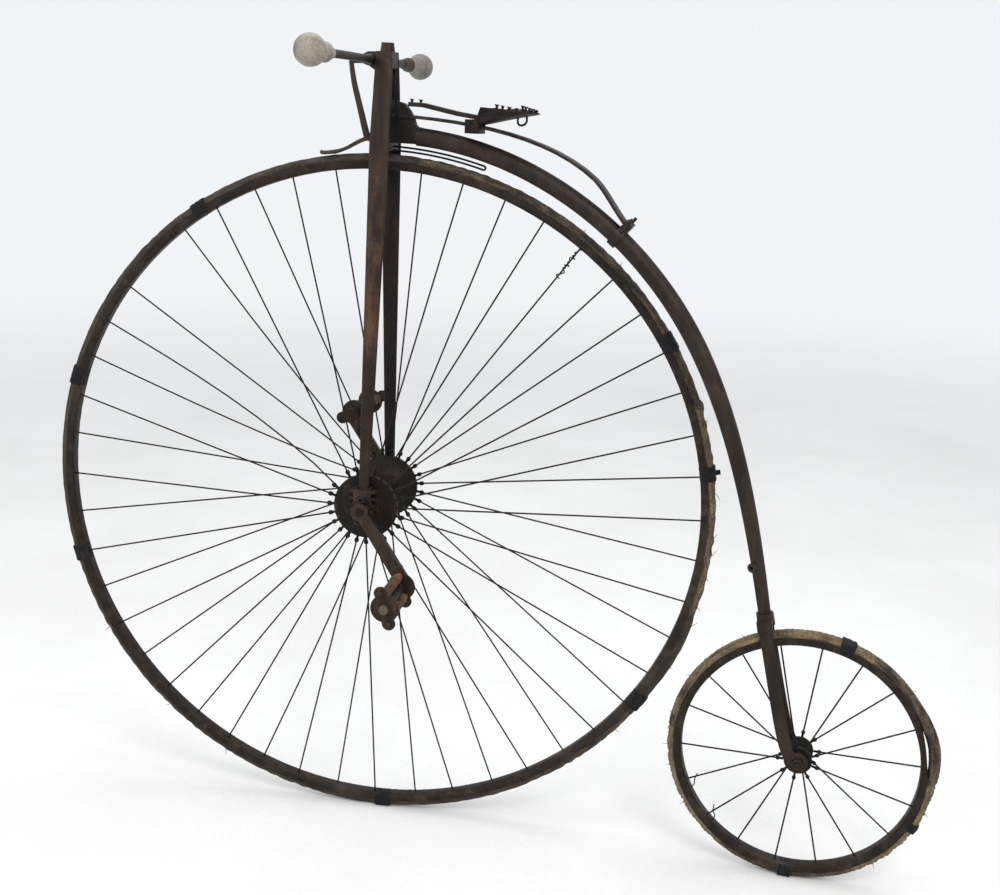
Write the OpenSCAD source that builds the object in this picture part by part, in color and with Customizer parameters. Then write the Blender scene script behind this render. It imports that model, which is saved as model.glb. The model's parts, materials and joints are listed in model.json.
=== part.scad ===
// High-wheel bicycle with a large front driving wheel and a small rear wheel.
// Forward is -X, the rider's left is -Y, up is +Z, in millimetres.
// The origin is on the saddle frame, where the rider sits.

/* [Whole machine] */
// Outside diameter of the front tyre
front_d = 1320; // [1120:10:1420]
// Outside diameter of the rear tyre
rear_d = 496; // [400:2:520]
// Distance between the two axles along the ground
wheelbase = 846; // [846:2:1000]
// How far the steering stands turned to the left, in degrees
steer_turn = 5.2; // [0:0.1:8]
// Backward lean of the steering head, in degrees
head_lean = 0.8; // [0:0.1:2]
// How far the hub sits behind the steering axis
hub_setback = 0; // [0:0.5:4]

/* [Tyres and rims] */
// Diameter of the solid rubber tyre
tyre_d = 22; // [18:1:24]
// Depth of tyre and rim together
ring_depth = 28.7; // [27:0.1:32]
// Width of the rims
rim_w = 26; // [26:1:32]
// Radius of the rim's inner corners
rim_corner = 6; // [3:0.5:6.5]
// How far the rim's lips reach up the tyre
lip_height = 15; // [13:0.5:17]

/* [Spokes] */
// Diameter of a spoke
spoke_d = 3.2; // [2:0.1:3.6]
// Spokes on each side of the front wheel
front_spokes = 24; // [18:1:28]
// Spokes on each side of the rear wheel
rear_spokes = 9; // [7:1:12]
// Which left front spoke is missing, counted from the rear
missing_spoke = 9; // [0:1:17]
// How far the spokes stand apart at the rim
spoke_stagger = 4; // [2:0.5:6]

/* [Front hub] */
// Distance between the middles of the two flanges
flange_gap = 146; // [132:2:150]
// Radius of the flanges
flange_r = 62; // [50:1:70]
// Thickness of a flange at its edge
flange_t = 9; // [7:0.5:10]
// Radius of the hub barrel
barrel_r = 27; // [20:1:34]
// Diameter of the front axle
axle_d = 18; // [14:1:22]
// Width of a main bearing
bearing_w = 20; // [16:1:24]
// Radius of a main bearing
bearing_r = 23; // [20:1:28]

/* [Cranks and pedals] */
// Length of a crank, axle to pedal
crank_len = 156.5; // [130:0.5:170]
// Width of a crank arm at its middle
crank_w = 24; // [18:1:26]
// Thickness of a crank arm
crank_t = 14; // [10:1:16]
// How far a crank leans outwards over its length
crank_dish = 15; // [6:1:18]
// Direction of the left crank, in degrees below the rearward horizontal
crank_angle = 53.6; // [0:0.1:360]
// Distance between the pedal plates
pedal_gap = 112; // [80:1:120]
// Radius of a pedal plate
pedal_plate_r = 21; // [18:0.5:24]
// Distance from the pedal's middle to its lobes
pedal_lobe_at = 28; // [24:0.5:32]
// Diameter of the pedal pin
pedal_pin_d = 10; // [8:0.5:12]
// Turn of the left pedal from upright, in degrees
left_pedal_turn = 16; // [-90:1:90]
// Turn of the right pedal from upright, in degrees
right_pedal_turn = -63; // [-90:1:90]

/* [Front fork] */
// Width of a blade at the crown
blade_w_top = 38; // [30:1:40]
// Width of a blade at the hub
blade_w_hub = 19; // [16:1:24]
// Thickness of a blade at the crown
blade_t_top = 12; // [10:0.5:13]
// Thickness of a blade at the hub
blade_t_hub = 9; // [7:0.5:11]
// Distance between the blades' middles at the crown
crown_gap = 79; // [72:1:84]
// Distance between the blades' middles at the head
head_gap = 39; // [36:1:44]
// Clearance between the crown and the tyre
crown_clear = 6; // [5:0.5:10]
// Thickness of the crown
crown_t = 14; // [12:1:18]
// Height of the open head above the crown
head_h = 163; // [140:1:180]

/* [Handlebar and brake] */
// Distance between the middles of the two grips
grip_gap = 690; // [600:5:760]
// Diameter of a ball grip
grip_d = 52.8; // [44:0.4:58]
// Diameter of the handlebar
bar_d = 14.6; // [12:0.2:18]
// How far the handlebar sits ahead of the steering axis
bar_lead = 27.5; // [26:0.5:32]
// Clearance between the brake spoon and the tyre
spoon_clear = 5.2; // [5:0.1:8]
// Clearance between the brake spring and the tyre
spring_clear = 5.2; // [5:0.1:7]
// Diameter of the brake spring's wire
spring_wire = 3.8; // [3:0.1:4]

/* [Backbone] */
// Diameter of the backbone at the head
backbone_d = 33.4; // [30:0.2:36]
// Diameter of the backbone at the rear fork
backbone_tail_d = 23; // [20:0.5:26]
// Clearance between the backbone and the front tyre
backbone_clear = 23.3; // [20:0.1:30]
// Thickness of the neck plate
neck_t = 14; // [12:0.5:16]
// Diameter of the head spindle
spindle_d = 18; // [16:0.5:20]

/* [Rear fork and hub] */
// Width of a rear blade
rear_blade_w = 24; // [20:1:28]
// Thickness of a rear blade
rear_blade_t = 6.5; // [5:0.5:8]
// Distance between the rear blades' middles at the axle
rear_eye_gap = 63; // [60:1:72]
// Distance between the rear blades' middles at the tyre
rear_crown_gap = 41; // [41:1:46]
// Distance between the middles of the rear flanges
rear_flange_gap = 43; // [36:1:45]
// Radius of the rear flanges
rear_flange_r = 26; // [20:0.5:30]
// Diameter of the rear axle
rear_axle_d = 10; // [8:0.5:12]
// Hole for the lost mounting step
step_hole_d = 7; // [5:0.5:8]

/* [Saddle] */
// Width of the saddle's leaf spring
leaf_w = 28; // [24:1:34]
// Thickness of the leaf spring
leaf_t = 5.5; // [4:0.5:7]
// Width of the cantle plate
cantle_w = 176; // [150:2:200]
// Hole for the nose of the lost leather
nose_hole_d = 5; // [4:0.5:7]

/* [Fits] */
// Radial clearance of a turning fit
run_fit = 0.05; // [0.03:0.01:0.08]
// Gap between pieces that only rest together
rest_gap = 0.1; // [0.05:0.01:0.2]
// Side clearance between turning pieces
side_gap = 1.5; // [1:0.1:2]

/* [Hidden] */
$fn = 48;

front_r = front_d / 2;
rear_r = rear_d / 2;
first_front_spoke = 1.2;
first_rear_spoke = 22.7;
left = -1;
right = 1;

// Saddle: the spring's front end beside the neck, and the rider's seat behind it
leaf_front_x = 24;
seat_x = 245;
seat_z = front_d + 80;

// Steering head, as heights above the hub along the steering axis
crown_base = front_r + crown_clear;
crown_top = crown_base + crown_t;
head_base = crown_top + head_h - 29;
head_summit = crown_top + head_h;
bar_height = head_summit - 15;
neck_foot = crown_top + 1.5;
neck_height = 76;
spindle_seat = 6;

// Widths across the front hub, from the middle outwards
flange_out = flange_gap / 2 + flange_t / 2;
bearing_in = flange_out + 3 + side_gap;
bearing_out = bearing_in + bearing_w;
crank_mid = bearing_out + side_gap + crank_t / 2;
crank_end_mid = crank_mid + crank_dish;
pedal_standoff = 10;
pedal_in = crank_end_mid + crank_t / 2 + pedal_standoff;
plate_t = 4;
lobe_r = 12;
rubber_d = 19;

// Backbone: a ring about the front wheel, then a sweep to the rear fork
backbone_r = backbone_d / 2;
ring_r = front_r + backbone_clear + backbone_r;
ring_start = 84;
ring_end = 29;
tail_dir = -79;
rear_hub_at = [wheelbase, 0, rear_r];
tail_at = [wheelbase - 80, 0, rear_r + 258];
clamp_angle = 49.5;
step_along = 0.8;
step_boss_turn = 30;

// ---- helpers ----

// Everything that belongs to the frame, from the ground frame into the part's frame
module placed() {
    translate([-seat_x, 0, -seat_z]) children();
}

// The frame's steering head: Z is the steering axis, the origin is level with the hub
module in_neck() {
    placed() translate([-hub_setback, 0, front_r]) rotate([0, head_lean, 0]) children();
}

module in_fork() {
    in_neck() rotate([0, 0, steer_turn]) children();
}

module in_front_wheel() {
    in_fork() translate([hub_setback, 0, 0]) children();
}

module in_rear_wheel() {
    placed() translate(rear_hub_at) children();
}

// A child drawn about Z, laid along +Y from the given station
module across(y) {
    translate([0, y, 0]) rotate([-90, 0, 0]) children();
}

// A round bar between two points
module bar(p, q, d) {
    v = q - p;
    translate(p)
        rotate([0, acos(v.z / norm(v)), atan2(v.y, v.x)])
            cylinder(d = d, h = norm(v));
}

// A closed skin through rings of points
module skin(rings) {
    n = len(rings[0]);
    last = (len(rings) - 1) * n;
    sides = [for (i = [0:len(rings) - 2], j = [0:n - 1])
        let (a = i * n + j, b = i * n + (j + 1) % n)
        each [[a, b, a + n], [b, b + n, a + n]]];
    caps = [[for (j = [n - 1:-1:0]) j], [for (j = [0:n - 1]) last + j]];
    polyhedron(points = [for (r = rings) each r], faces = concat(sides, caps));
}

// Cubic curve through four control points, and its direction
function curve(c, t) =
    c[0] * pow(1 - t, 3) + c[1] * 3 * t * pow(1 - t, 2) + c[2] * 3 * t * t * (1 - t) + c[3] * pow(t, 3);
function slope(c, t) =
    let (d = (c[1] - c[0]) * pow(1 - t, 2) + (c[2] - c[1]) * 2 * t * (1 - t) + (c[3] - c[2]) * t * t)
    d / norm(d);

// Oval ring in the plane across a direction that lies in XZ
function oval(at, dir, w, t, n = 24) =
    [for (j = [0:n - 1]) let (a = 360 * j / n)
        at + [-dir.z, 0, dir.x] * (w / 2 * cos(a)) + [0, t / 2 * sin(a), 0]];

// A flat strip that follows a path in XZ, with its width along Y
module strip(path, t, w) {
    n = len(path);
    normals = [for (i = [0:n - 1])
        let (d = path[min(i + 1, n - 1)] - path[max(i - 1, 0)]) [-d.y, d.x] / norm(d)];
    outline = concat(
        [for (i = [0:n - 1]) path[i] + normals[i] * t / 2],
        [for (i = [n - 1:-1:0]) path[i] - normals[i] * t / 2]);
    translate([0, w / 2, 0]) rotate([90, 0, 0]) linear_extrude(w) polygon(outline);
}

// ---- wheels ----

module tyre(r) {
    rotate([90, 0, 0]) rotate_extrude($fn = 96) translate([r - tyre_d / 2, 0]) circle(d = tyre_d);
}

module rim(r) {
    inside = r - ring_depth;
    lip = r - ring_depth + lip_height;
    rotate([90, 0, 0]) rotate_extrude($fn = 96) difference() {
        union() {
            for (s = [left, right])
                translate([inside + rim_corner, s * (rim_w / 2 - rim_corner)]) circle(r = rim_corner);
            translate([inside, -rim_w / 2 + rim_corner])
                square([lip - inside, rim_w - 2 * rim_corner]);
            translate([inside + rim_corner, -rim_w / 2]) square([lip - inside - rim_corner, rim_w]);
        }
        translate([r - tyre_d / 2, 0]) circle(d = tyre_d + 2 * rest_gap);
    }
}

// One side's spokes, from the flange's edge to the rim
module spokes(side, count, first, hub_r, gap, r, skip = -1) {
    seat = 4;
    for (i = [0:count - 1])
        if (i != skip) {
            a = first + 360 / count * i;
            d = [cos(a), 0, sin(a)];
            bar(d * (hub_r - seat) + [0, side * gap / 2, 0],
                d * (r - ring_depth + 2) + [0, side * spoke_stagger, 0], spoke_d);
        }
}

module front_tyre() {
    color([0.23, 0.19, 0.14]) in_front_wheel() tyre(front_r);
}

module front_rim() {
    color([0.16, 0.12, 0.10]) in_front_wheel() rim(front_r);
}

module front_hub() {
    face = flange_out + 3;
    root = flange_gap / 2 - flange_t / 2;
    bore = axle_d / 2 + run_fit;
    half = [[bore, face], [bearing_r, face], [bearing_r, flange_out], [flange_r, flange_out],
        [flange_r, root], [barrel_r + 12, root - 6], [barrel_r + 3, root - 16], [barrel_r, root - 30]];
    color([0.24, 0.13, 0.09]) in_front_wheel() rotate([90, 0, 0]) rotate_extrude()
        polygon(concat(half, [for (i = [len(half) - 1:-1:0]) [half[i].x, -half[i].y]]));
}

module front_axle() {
    reach = crank_mid + crank_t / 2;
    color([0.20, 0.18, 0.16]) in_front_wheel() across(-reach) cylinder(d = axle_d, h = 2 * reach);
}

module front_spokes_left() {
    color([0.12, 0.10, 0.09]) in_front_wheel()
        spokes(left, front_spokes, first_front_spoke, flange_r, flange_gap, front_r, missing_spoke);
}

module front_spokes_right() {
    color([0.12, 0.10, 0.09]) in_front_wheel()
        spokes(right, front_spokes, first_front_spoke + 180 / front_spokes, flange_r, flange_gap, front_r);
}

module rear_tyre() {
    color([0.45, 0.36, 0.22]) in_rear_wheel() tyre(rear_r);
}

module rear_rim() {
    color([0.17, 0.13, 0.10]) in_rear_wheel() rim(rear_r);
}

module rear_hub() {
    edge = rear_flange_gap / 2 + 3;
    face = rear_eye_gap / 2 - rear_blade_t / 2 - side_gap;
    half = [[rear_axle_d / 2 + run_fit, face], [11, face], [11, edge], [rear_flange_r, edge],
        [rear_flange_r, edge - 6], [15, edge - 9]];
    color([0.18, 0.14, 0.12]) in_rear_wheel() rotate([90, 0, 0]) rotate_extrude()
        polygon(concat(half, [for (i = [len(half) - 1:-1:0]) [half[i].x, -half[i].y]]));
}

module rear_spokes_left() {
    color([0.12, 0.10, 0.09]) in_rear_wheel()
        spokes(left, rear_spokes, first_rear_spoke, rear_flange_r, rear_flange_gap, rear_r);
}

module rear_spokes_right() {
    color([0.12, 0.10, 0.09]) in_rear_wheel()
        spokes(right, rear_spokes, first_rear_spoke - 180 / rear_spokes, rear_flange_r,
            rear_flange_gap, rear_r);
}

// ---- cranks and pedals ----

// The crank's frame: the left one, or the right one half a turn on
module in_crank(side) {
    in_front_wheel() rotate([0, crank_angle + (side == left ? 0 : 180), 0]) children();
}

module crank(side) {
    end_r = 13;
    in_crank(side) difference() {
        union() {
            across(side * crank_mid - crank_t / 2) cylinder(r = 17, h = crank_t);
            translate([crank_len, 0, 0])
                across(side * crank_end_mid - crank_t / 2) cylinder(r = end_r, h = crank_t);
            hull() {
                translate([14, side * crank_mid, 0])
                    cube([2, crank_t - 2, crank_w - 2], center = true);
                translate([crank_len - end_r, side * crank_end_mid, 0])
                    cube([2, crank_t - 2, crank_w], center = true);
            }
        }
        across(side * crank_mid - crank_t) cylinder(d = axle_d + 2 * rest_gap, h = 2 * crank_t);
        translate([crank_len, 0, 0]) across(side * crank_end_mid - crank_t)
            cylinder(d = pedal_pin_d + 2 * rest_gap, h = 2 * crank_t);
    }
}

module pedal_pin(side) {
    inner = crank_end_mid - crank_t / 2;
    outer = pedal_in + pedal_gap + plate_t + side_gap;
    in_crank(side) translate([crank_len, side * inner, 0]) rotate([-side * 90, 0, 0]) {
        cylinder(d = pedal_pin_d, h = outer - inner);
        translate([0, 0, outer - inner]) cylinder(d = 17, h = 7);
    }
}

// The pedal's frame: Y outwards from the inner plate, Z through the lobes
module in_pedal(side) {
    in_crank(side) translate([crank_len, side * pedal_in, 0])
        rotate([0, -crank_angle + (side == left ? -left_pedal_turn : 180 - right_pedal_turn), 0])
            children();
}

module pedal(side) {
    in_pedal(side) rotate([-side * 90, 0, 0]) difference() {
        union() {
            for (h = [0, pedal_gap]) translate([0, 0, h]) {
                cylinder(r = pedal_plate_r, h = plate_t);
                for (s = [left, right]) {
                    translate([0, s * pedal_lobe_at, 0]) cylinder(r = lobe_r, h = plate_t);
                    translate([-lobe_r, s * pedal_lobe_at / 2 - pedal_lobe_at / 2, 0])
                        cube([2 * lobe_r, pedal_lobe_at, plate_t]);
                }
            }
            cylinder(d = pedal_pin_d + 6, h = pedal_gap + plate_t);
        }
        translate([0, 0, -1]) cylinder(d = pedal_pin_d + 2 * run_fit, h = pedal_gap + plate_t + 2);
    }
}

module pedal_rubbers(side) {
    in_pedal(side) rotate([-side * 90, 0, 0]) for (s = [left, right])
        translate([0, s * (pedal_lobe_at - 8), plate_t + rest_gap])
            cylinder(d = rubber_d - 2, h = pedal_gap - plate_t - 2 * rest_gap);
}

module crank_left() {
    color([0.23, 0.20, 0.14]) crank(left);
}

module crank_right() {
    color([0.23, 0.20, 0.14]) crank(right);
}

module pedal_pin_left() {
    color([0.35, 0.33, 0.20]) pedal_pin(left);
}

module pedal_pin_right() {
    color([0.35, 0.33, 0.20]) pedal_pin(right);
}

module pedal_left() {
    color([0.20, 0.12, 0.10]) pedal(left);
}

module pedal_right() {
    color([0.20, 0.12, 0.10]) pedal(right);
}

module pedal_rubbers_left() {
    color([0.36, 0.21, 0.11]) pedal_rubbers(left);
}

module pedal_rubbers_right() {
    color([0.20, 0.15, 0.12]) pedal_rubbers(right);
}

// ---- front fork and head ----

// Half the distance between the blades' middles at a height above the hub
hub_spread = bearing_in + bearing_w / 2;
function blade_at(h) =
    h > crown_top
    ? crown_gap / 2 - (crown_gap - head_gap) / 2 * (h - crown_top) / head_h
    : crown_gap / 2 + (hub_spread - crown_gap / 2) * (1 - h / crown_top);
function blade_w(h) =
    h > crown_top
    ? blade_w_top - (blade_w_top - 32) * (h - crown_top) / head_h
    : blade_w_hub + (blade_w_top - blade_w_hub) * h / crown_top;
function blade_t(h) = blade_t_hub + (blade_t_top - blade_t_hub) * min(h / crown_top, 1);

module blade(side) {
    foot = bearing_r + 6;
    stations = concat(
        [for (i = [0:9]) foot + (crown_top - foot) * pow(i / 9, 1.3)],
        [for (i = [1:4]) crown_top + (head_summit - 12 - crown_top) * i / 4]);
    in_fork() skin([for (h = stations)
        oval([0, side * blade_at(h), h], [0, 0, 1], blade_w(h), blade_t(h))]);
}

module fork_blade_left() {
    color([0.22, 0.15, 0.12]) blade(left);
}

module fork_blade_right() {
    color([0.13, 0.11, 0.10]) blade(right);
}

module fork_crown() {
    color([0.16, 0.13, 0.12]) in_fork() difference() {
        translate([-16, -crown_gap / 2, crown_base]) cube([32, crown_gap, crown_t]);
        translate([0, 0, crown_top - spindle_seat])
            cylinder(d = spindle_d + 2 * run_fit, h = spindle_seat + 1);
    }
}

module head_top() {
    wide = 2 * blade_at(head_base) + blade_t_top;
    lug_w = 22;
    color([0.20, 0.15, 0.13]) in_fork() difference() {
        union() {
            hull() {
                translate([-15, -wide / 2 + 2, head_base]) cube([30, wide - 4, 1]);
                translate([-15, -head_gap / 2 - 3, head_summit - 1]) cube([30, head_gap + 6, 1]);
            }
            translate([-bar_lead, lug_w / 2, bar_height]) rotate([90, 0, 0]) linear_extrude(lug_w)
                polygon([[18, -36], [12.5, -36], [11, -27], [6, -18], [-3, -12], [-13, -9], [-18, -4],
                    [-18, 4], [-14, 10], [-6, 14], [18, 15]]);
        }
        translate([0, 0, head_base - 1])
            cylinder(d = spindle_d + 2 * run_fit, h = head_summit - head_base - 7);
    }
}

module head_cap() {
    color([0.19, 0.14, 0.13]) in_fork() translate([0, 0, head_summit + rest_gap]) {
        cylinder(d1 = 27, d2 = 25, h = 9);
        translate([0, 0, 9]) cylinder(d1 = 24, d2 = 23, h = 7);
    }
}

// The bar swells towards its middle, where it joins the head
module handlebar() {
    swell = 3;
    flare = 66;
    tip = grip_gap / 2 - grip_d / 2;
    steps = 8;
    side_points = [for (i = [0:steps]) let (t = i / steps)
        [bar_d / 2 + swell * pow(1 - t, 2.4), 8 + (flare - 8) * t]];
    half = concat(side_points, [[bar_d / 2, tip]]);
    color([0.21, 0.18, 0.16]) in_fork() translate([-bar_lead, 0, bar_height])
        rotate([-90, 0, 0]) rotate_extrude() polygon(concat(
            [[0, tip]], [for (i = [len(half) - 1:-1:0]) half[i]],
            [for (p = half) [p.x, -p.y]], [[0, -tip]]));
}

// Ball grip with a turned neck; the profile is radius against distance from the ball's middle
module grip(side, profile) {
    bore = bar_d / 2 + rest_gap;
    middle = grip_gap / 2;
    far = profile[len(profile) - 1].y;
    in_fork() translate([-bar_lead, 0, bar_height]) rotate([-side * 90, 0, 0]) difference() {
        union() {
            translate([0, 0, middle]) sphere(d = grip_d);
            rotate_extrude() translate([0, middle]) polygon(concat([[1, 0]], profile, [[1, far]]));
        }
        translate([0, 0, -1]) cylinder(r = bore, h = middle - grip_d / 2 + 1 + rest_gap);
    }
}

module grip_left() {
    color([0.66, 0.62, 0.50]) grip(left, [[24.5, -9], [21.5, -28], [18, -43], [15.5, -56], [15, -63],
        [16.5, -65], [16.5, -71], [13, -74], [11.5, -86], [10.5, -100]]);
}

module grip_right() {
    color([0.52, 0.50, 0.44]) grip(right, [[24.5, -9], [21.5, -30], [18, -46], [15.5, -62], [14.5, -80],
        [14.5, -95], [14, -103], [11, -121], [8.4, -148]]);
}

module brake_arm() {
    top = [-bar_lead - 42, bar_height + 2];
    link_t = 8;
    color([0.17, 0.14, 0.13]) in_fork() {
        strip([top, [-61, crown_top + 100], [-49.5, crown_top + 60], [-37, crown_top + 15]], 11, 6);
        translate([top.x - 4, -5, top.y - link_t]) cube([-bar_lead - 12 - top.x, 10, link_t]);
    }
}

module brake_spoon() {
    pad_r = front_r + spoon_clear;
    pad_t = 3.2;
    pad_start = 95.4;
    pad_end = 101;
    leaf = 5;
    leaf_r = pad_r + leaf / 2 + 0.4;
    tip = (pad_r + pad_t / 2) * [cos(pad_end), sin(pad_end)];
    root = [[-15.6, crown_top - 5], [-25, crown_top + 2.5], [-34, crown_top + 4], [-43, crown_top],
        [-52, crown_top - 6.5], leaf_r * [cos(pad_start), sin(pad_start)] + [0, 1.6],
        leaf_r * [cos(pad_start + 1.2), sin(pad_start + 1.2)]];
    color([0.25, 0.22, 0.17]) in_fork() {
        strip(root, leaf, 12);
        strip([[-31, crown_top + 3], [-38, crown_top + 19]], 9, 7);
        translate([hub_setback, 0, 0]) strip([tip + [3, 0.4], tip, tip + [-4, 0.8], tip + [-8, 4]], pad_t, 12);
        translate([hub_setback, 0, 0]) rotate([90, 0, 0]) rotate([0, 0, pad_start])
            rotate_extrude(angle = pad_end - pad_start, $fn = 96) translate([pad_r - tyre_d / 2 - spoon_clear, 0])
                intersection() {
                    difference() {
                        circle(r = tyre_d / 2 + spoon_clear + pad_t);
                        circle(r = tyre_d / 2 + spoon_clear);
                    }
                    translate([tyre_d / 2 - 5, -30]) square([40, 60]);
                }
    }
}

// Hairpin spring over the tyre: two wires about the wheel, joined at the rear
module brake_spring() {
    low_r = front_r + spring_clear + spring_wire / 2;
    high_r = low_r + 7;
    span = 15;
    front = 88.8;
    color([0.10, 0.09, 0.09]) in_fork() translate([hub_setback, 0, 0]) rotate([90, 0, 0]) {
        for (r = [low_r, high_r])
            rotate([0, 0, front - span]) rotate_extrude(angle = span, $fn = 96)
                translate([r, 0]) circle(d = spring_wire, $fn = 24);
        rotate([0, 0, front - span]) translate([(low_r + high_r) / 2, 0, 0]) rotate([0, 0, 180])
            rotate_extrude(angle = 180) translate([(high_r - low_r) / 2, 0])
                circle(d = spring_wire, $fn = 24);
    }
}

// Plain bearing in a housing under the blade
module hub_bearing(side) {
    in_fork() translate([hub_setback, 0, 0]) difference() {
        union() {
            across(side > 0 ? bearing_in : -bearing_out) cylinder(r = bearing_r, h = bearing_w);
            translate([-17 - hub_setback, side > 0 ? bearing_in : -bearing_out, 0])
                cube([34, bearing_w, bearing_r + 16]);
        }
        across(side > 0 ? bearing_in - 1 : -bearing_out - 1)
            cylinder(d = axle_d + 2 * run_fit, h = bearing_w + 2);
    }
}

module hub_bearing_left() {
    color([0.20, 0.17, 0.15]) hub_bearing(left);
}

module hub_bearing_right() {
    color([0.15, 0.13, 0.12]) hub_bearing(right);
}

// ---- frame ----

// The backbone's middle line: a ring about the front wheel, then an easier curve to the rear fork
ring_exit = [ring_r * cos(ring_end), 0, front_r + ring_r * sin(ring_end)];
tail_reach = norm(tail_at - ring_exit) / 3;
tail_curve = [ring_exit,
    ring_exit + [sin(ring_end), 0, -cos(ring_end)] * tail_reach,
    tail_at - [cos(tail_dir), 0, sin(tail_dir)] * tail_reach,
    tail_at];
function tail_d(t) = backbone_d + (backbone_tail_d - backbone_d) * pow(t, 1.15);

module backbone() {
    ring_n = 15;
    tail_n = 15;
    sides = 28;
    front_part = [for (i = [0:ring_n - 1]) let (a = ring_start - (ring_start - ring_end) * i / ring_n)
        oval([ring_r * cos(a), 0, front_r + ring_r * sin(a)], [sin(a), 0, -cos(a)],
            backbone_d, backbone_d, sides)];
    rear_part = [for (i = [0:tail_n]) let (t = i / tail_n)
        oval(curve(tail_curve, t), slope(tail_curve, t), tail_d(t), tail_d(t), sides)];
    color([0.20, 0.16, 0.14]) placed() skin(concat(front_part, rear_part));
}

module neck() {
    foot = neck_foot;
    socket_w = backbone_d - 6;
    color([0.15, 0.13, 0.13]) in_neck() {
        translate([0, 0, crown_top - spindle_seat + rest_gap])
            cylinder(d = spindle_d, h = head_summit - 8.5 - crown_top + spindle_seat);
        translate([0, neck_t / 2, 0]) rotate([90, 0, 0]) linear_extrude(neck_t) polygon([
            [0, foot], [44, foot - 1], [70, foot - 1], [90, foot + 3], [90, foot + 22], [66, foot + 27],
            [59, foot + 34], [55, foot + 46], [47, foot + 59], [37, foot + 71], [20, foot + 75],
            [0, foot + neck_height]]);
        translate([0, socket_w / 2, 0]) rotate([90, 0, 0]) linear_extrude(socket_w) polygon([
            [56, foot + 2], [60, foot], [72, foot], [72, foot + 28], [62, foot + 30], [56, foot + 26]]);
        translate([26, 0, neck_foot + 48]) across(-neck_t / 2 - 5) cylinder(d = 7, h = neck_t + 10);
    }
}

// Boss of the lost mounting step, on the left of the backbone, with its blind hole
module step_boss() {
    at = curve(tail_curve, step_along);
    out = tail_d(step_along) / 2;
    boss_l = 9;
    color([0.22, 0.18, 0.16]) placed() translate(at) rotate([0, 0, -step_boss_turn]) difference() {
        across(-out - boss_l) cylinder(d = 17, h = boss_l + 5);
        across(-out - boss_l - 1) cylinder(d = step_hole_d, h = boss_l + 0.5);
    }
}

// Rear fork: the blades' middle line, as places from the rear hub
fork_curve = [[-79, 0, 250], [-42, 0, 98], [-27, 0, -6], [0, 0, 0]];
function fork_spread(t) =
    rear_crown_gap / 2 + (rear_eye_gap - rear_crown_gap) / 2 * min(1, 1.5 * t);

module rear_fork_crown() {
    socket_l = 14;
    plate_l = 9;
    cheek_l = 22;
    inside = rear_crown_gap / 2 - rear_blade_t / 2 - 1;
    outside = rear_crown_gap / 2 + rear_blade_t / 2 + 2;
    color([0.17, 0.14, 0.13]) placed() translate(tail_at) rotate([0, -90 - tail_dir, 0]) {
        translate([0, 0, -3]) cylinder(d = backbone_tail_d + 8, h = socket_l + 3);
        translate([-rear_blade_w / 2 - 2, -outside, -plate_l + 4])
            cube([rear_blade_w + 4, 2 * outside, plate_l]);
        for (s = [left, right])
            translate([-rear_blade_w / 2 - 2, s > 0 ? inside : -outside, 4 - cheek_l])
                cube([rear_blade_w + 4, outside - inside, cheek_l]);
    }
}

module rear_blade(side) {
    steps = 14;
    eye_r = 19;
    eye_y = rear_eye_gap / 2 - rear_blade_t / 2;
    placed() translate(rear_hub_at) difference() {
        union() {
            skin([for (i = [0:steps]) let (t = i / steps)
                oval(curve(fork_curve, t) + [0, side * fork_spread(t), 0],
                    slope(fork_curve, t), rear_blade_w, rear_blade_t)]);
            across(side > 0 ? eye_y : -eye_y - rear_blade_t) cylinder(r = eye_r, h = rear_blade_t);
        }
        across(-50) cylinder(d = rear_axle_d + 2 * rest_gap, h = 100);
    }
}

module rear_fork_left() {
    color([0.20, 0.17, 0.15]) rear_blade(left);
}

module rear_fork_right() {
    color([0.16, 0.13, 0.12]) rear_blade(right);
}

axle_tip = 46;
nut_l = 8;

module rear_axle() {
    color([0.22, 0.20, 0.17]) in_rear_wheel() across(-axle_tip)
        cylinder(d = rear_axle_d, h = 2 * axle_tip);
}

module rear_axle_nuts() {
    seat = rear_eye_gap / 2 + rear_blade_t / 2;
    color([0.20, 0.17, 0.15]) in_rear_wheel() for (s = [left, right])
        across(s > 0 ? seat : -seat - nut_l) difference() {
            cylinder(d = 22, h = nut_l, $fn = 6);
            translate([0, 0, -1]) cylinder(d = rear_axle_d + 2 * rest_gap, h = nut_l + 2);
        }
}

// ---- saddle frame ----

// The leaf spring runs level from the neck, dips over the backbone and ends in its clamp
leaf_level = front_d + 69;
clamp_at = [(ring_r) * cos(clamp_angle), front_r + ring_r * sin(clamp_angle)];
leaf_tail = clamp_at + [cos(clamp_angle), sin(clamp_angle)] * (backbone_r + 6 + leaf_t / 2);
leaf_curve_a = [[leaf_front_x, leaf_level + 1], [190, leaf_level - 4], [330, leaf_level - 30],
    [410, leaf_level - 98]];
leaf_curve_b = [[410, leaf_level - 98], [435, leaf_level - 122], leaf_tail + [-22, 24],
    leaf_tail + [6, -6]];

module saddle_spring() {
    prong_t = 3.5;
    prong_out = neck_t / 2 + rest_gap + prong_t;
    wide_from = leaf_front_x + 38;
    path = concat([for (i = [0:12]) curve(leaf_curve_a, i / 12)],
        [for (i = [1:7]) curve(leaf_curve_b, i / 7)]);
    color([0.21, 0.19, 0.18]) placed() difference() {
        strip(path, leaf_t, leaf_w);
        translate([leaf_front_x - 1, -neck_t / 2 - rest_gap, leaf_level - 20])
            cube([83 - leaf_front_x, neck_t + 2 * rest_gap, 40]);
        for (s = [left, right])
            translate([leaf_front_x - 1, s > 0 ? prong_out : -prong_out - leaf_w, leaf_level - 20])
                cube([wide_from - leaf_front_x, leaf_w, 40]);
    }
}

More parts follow.
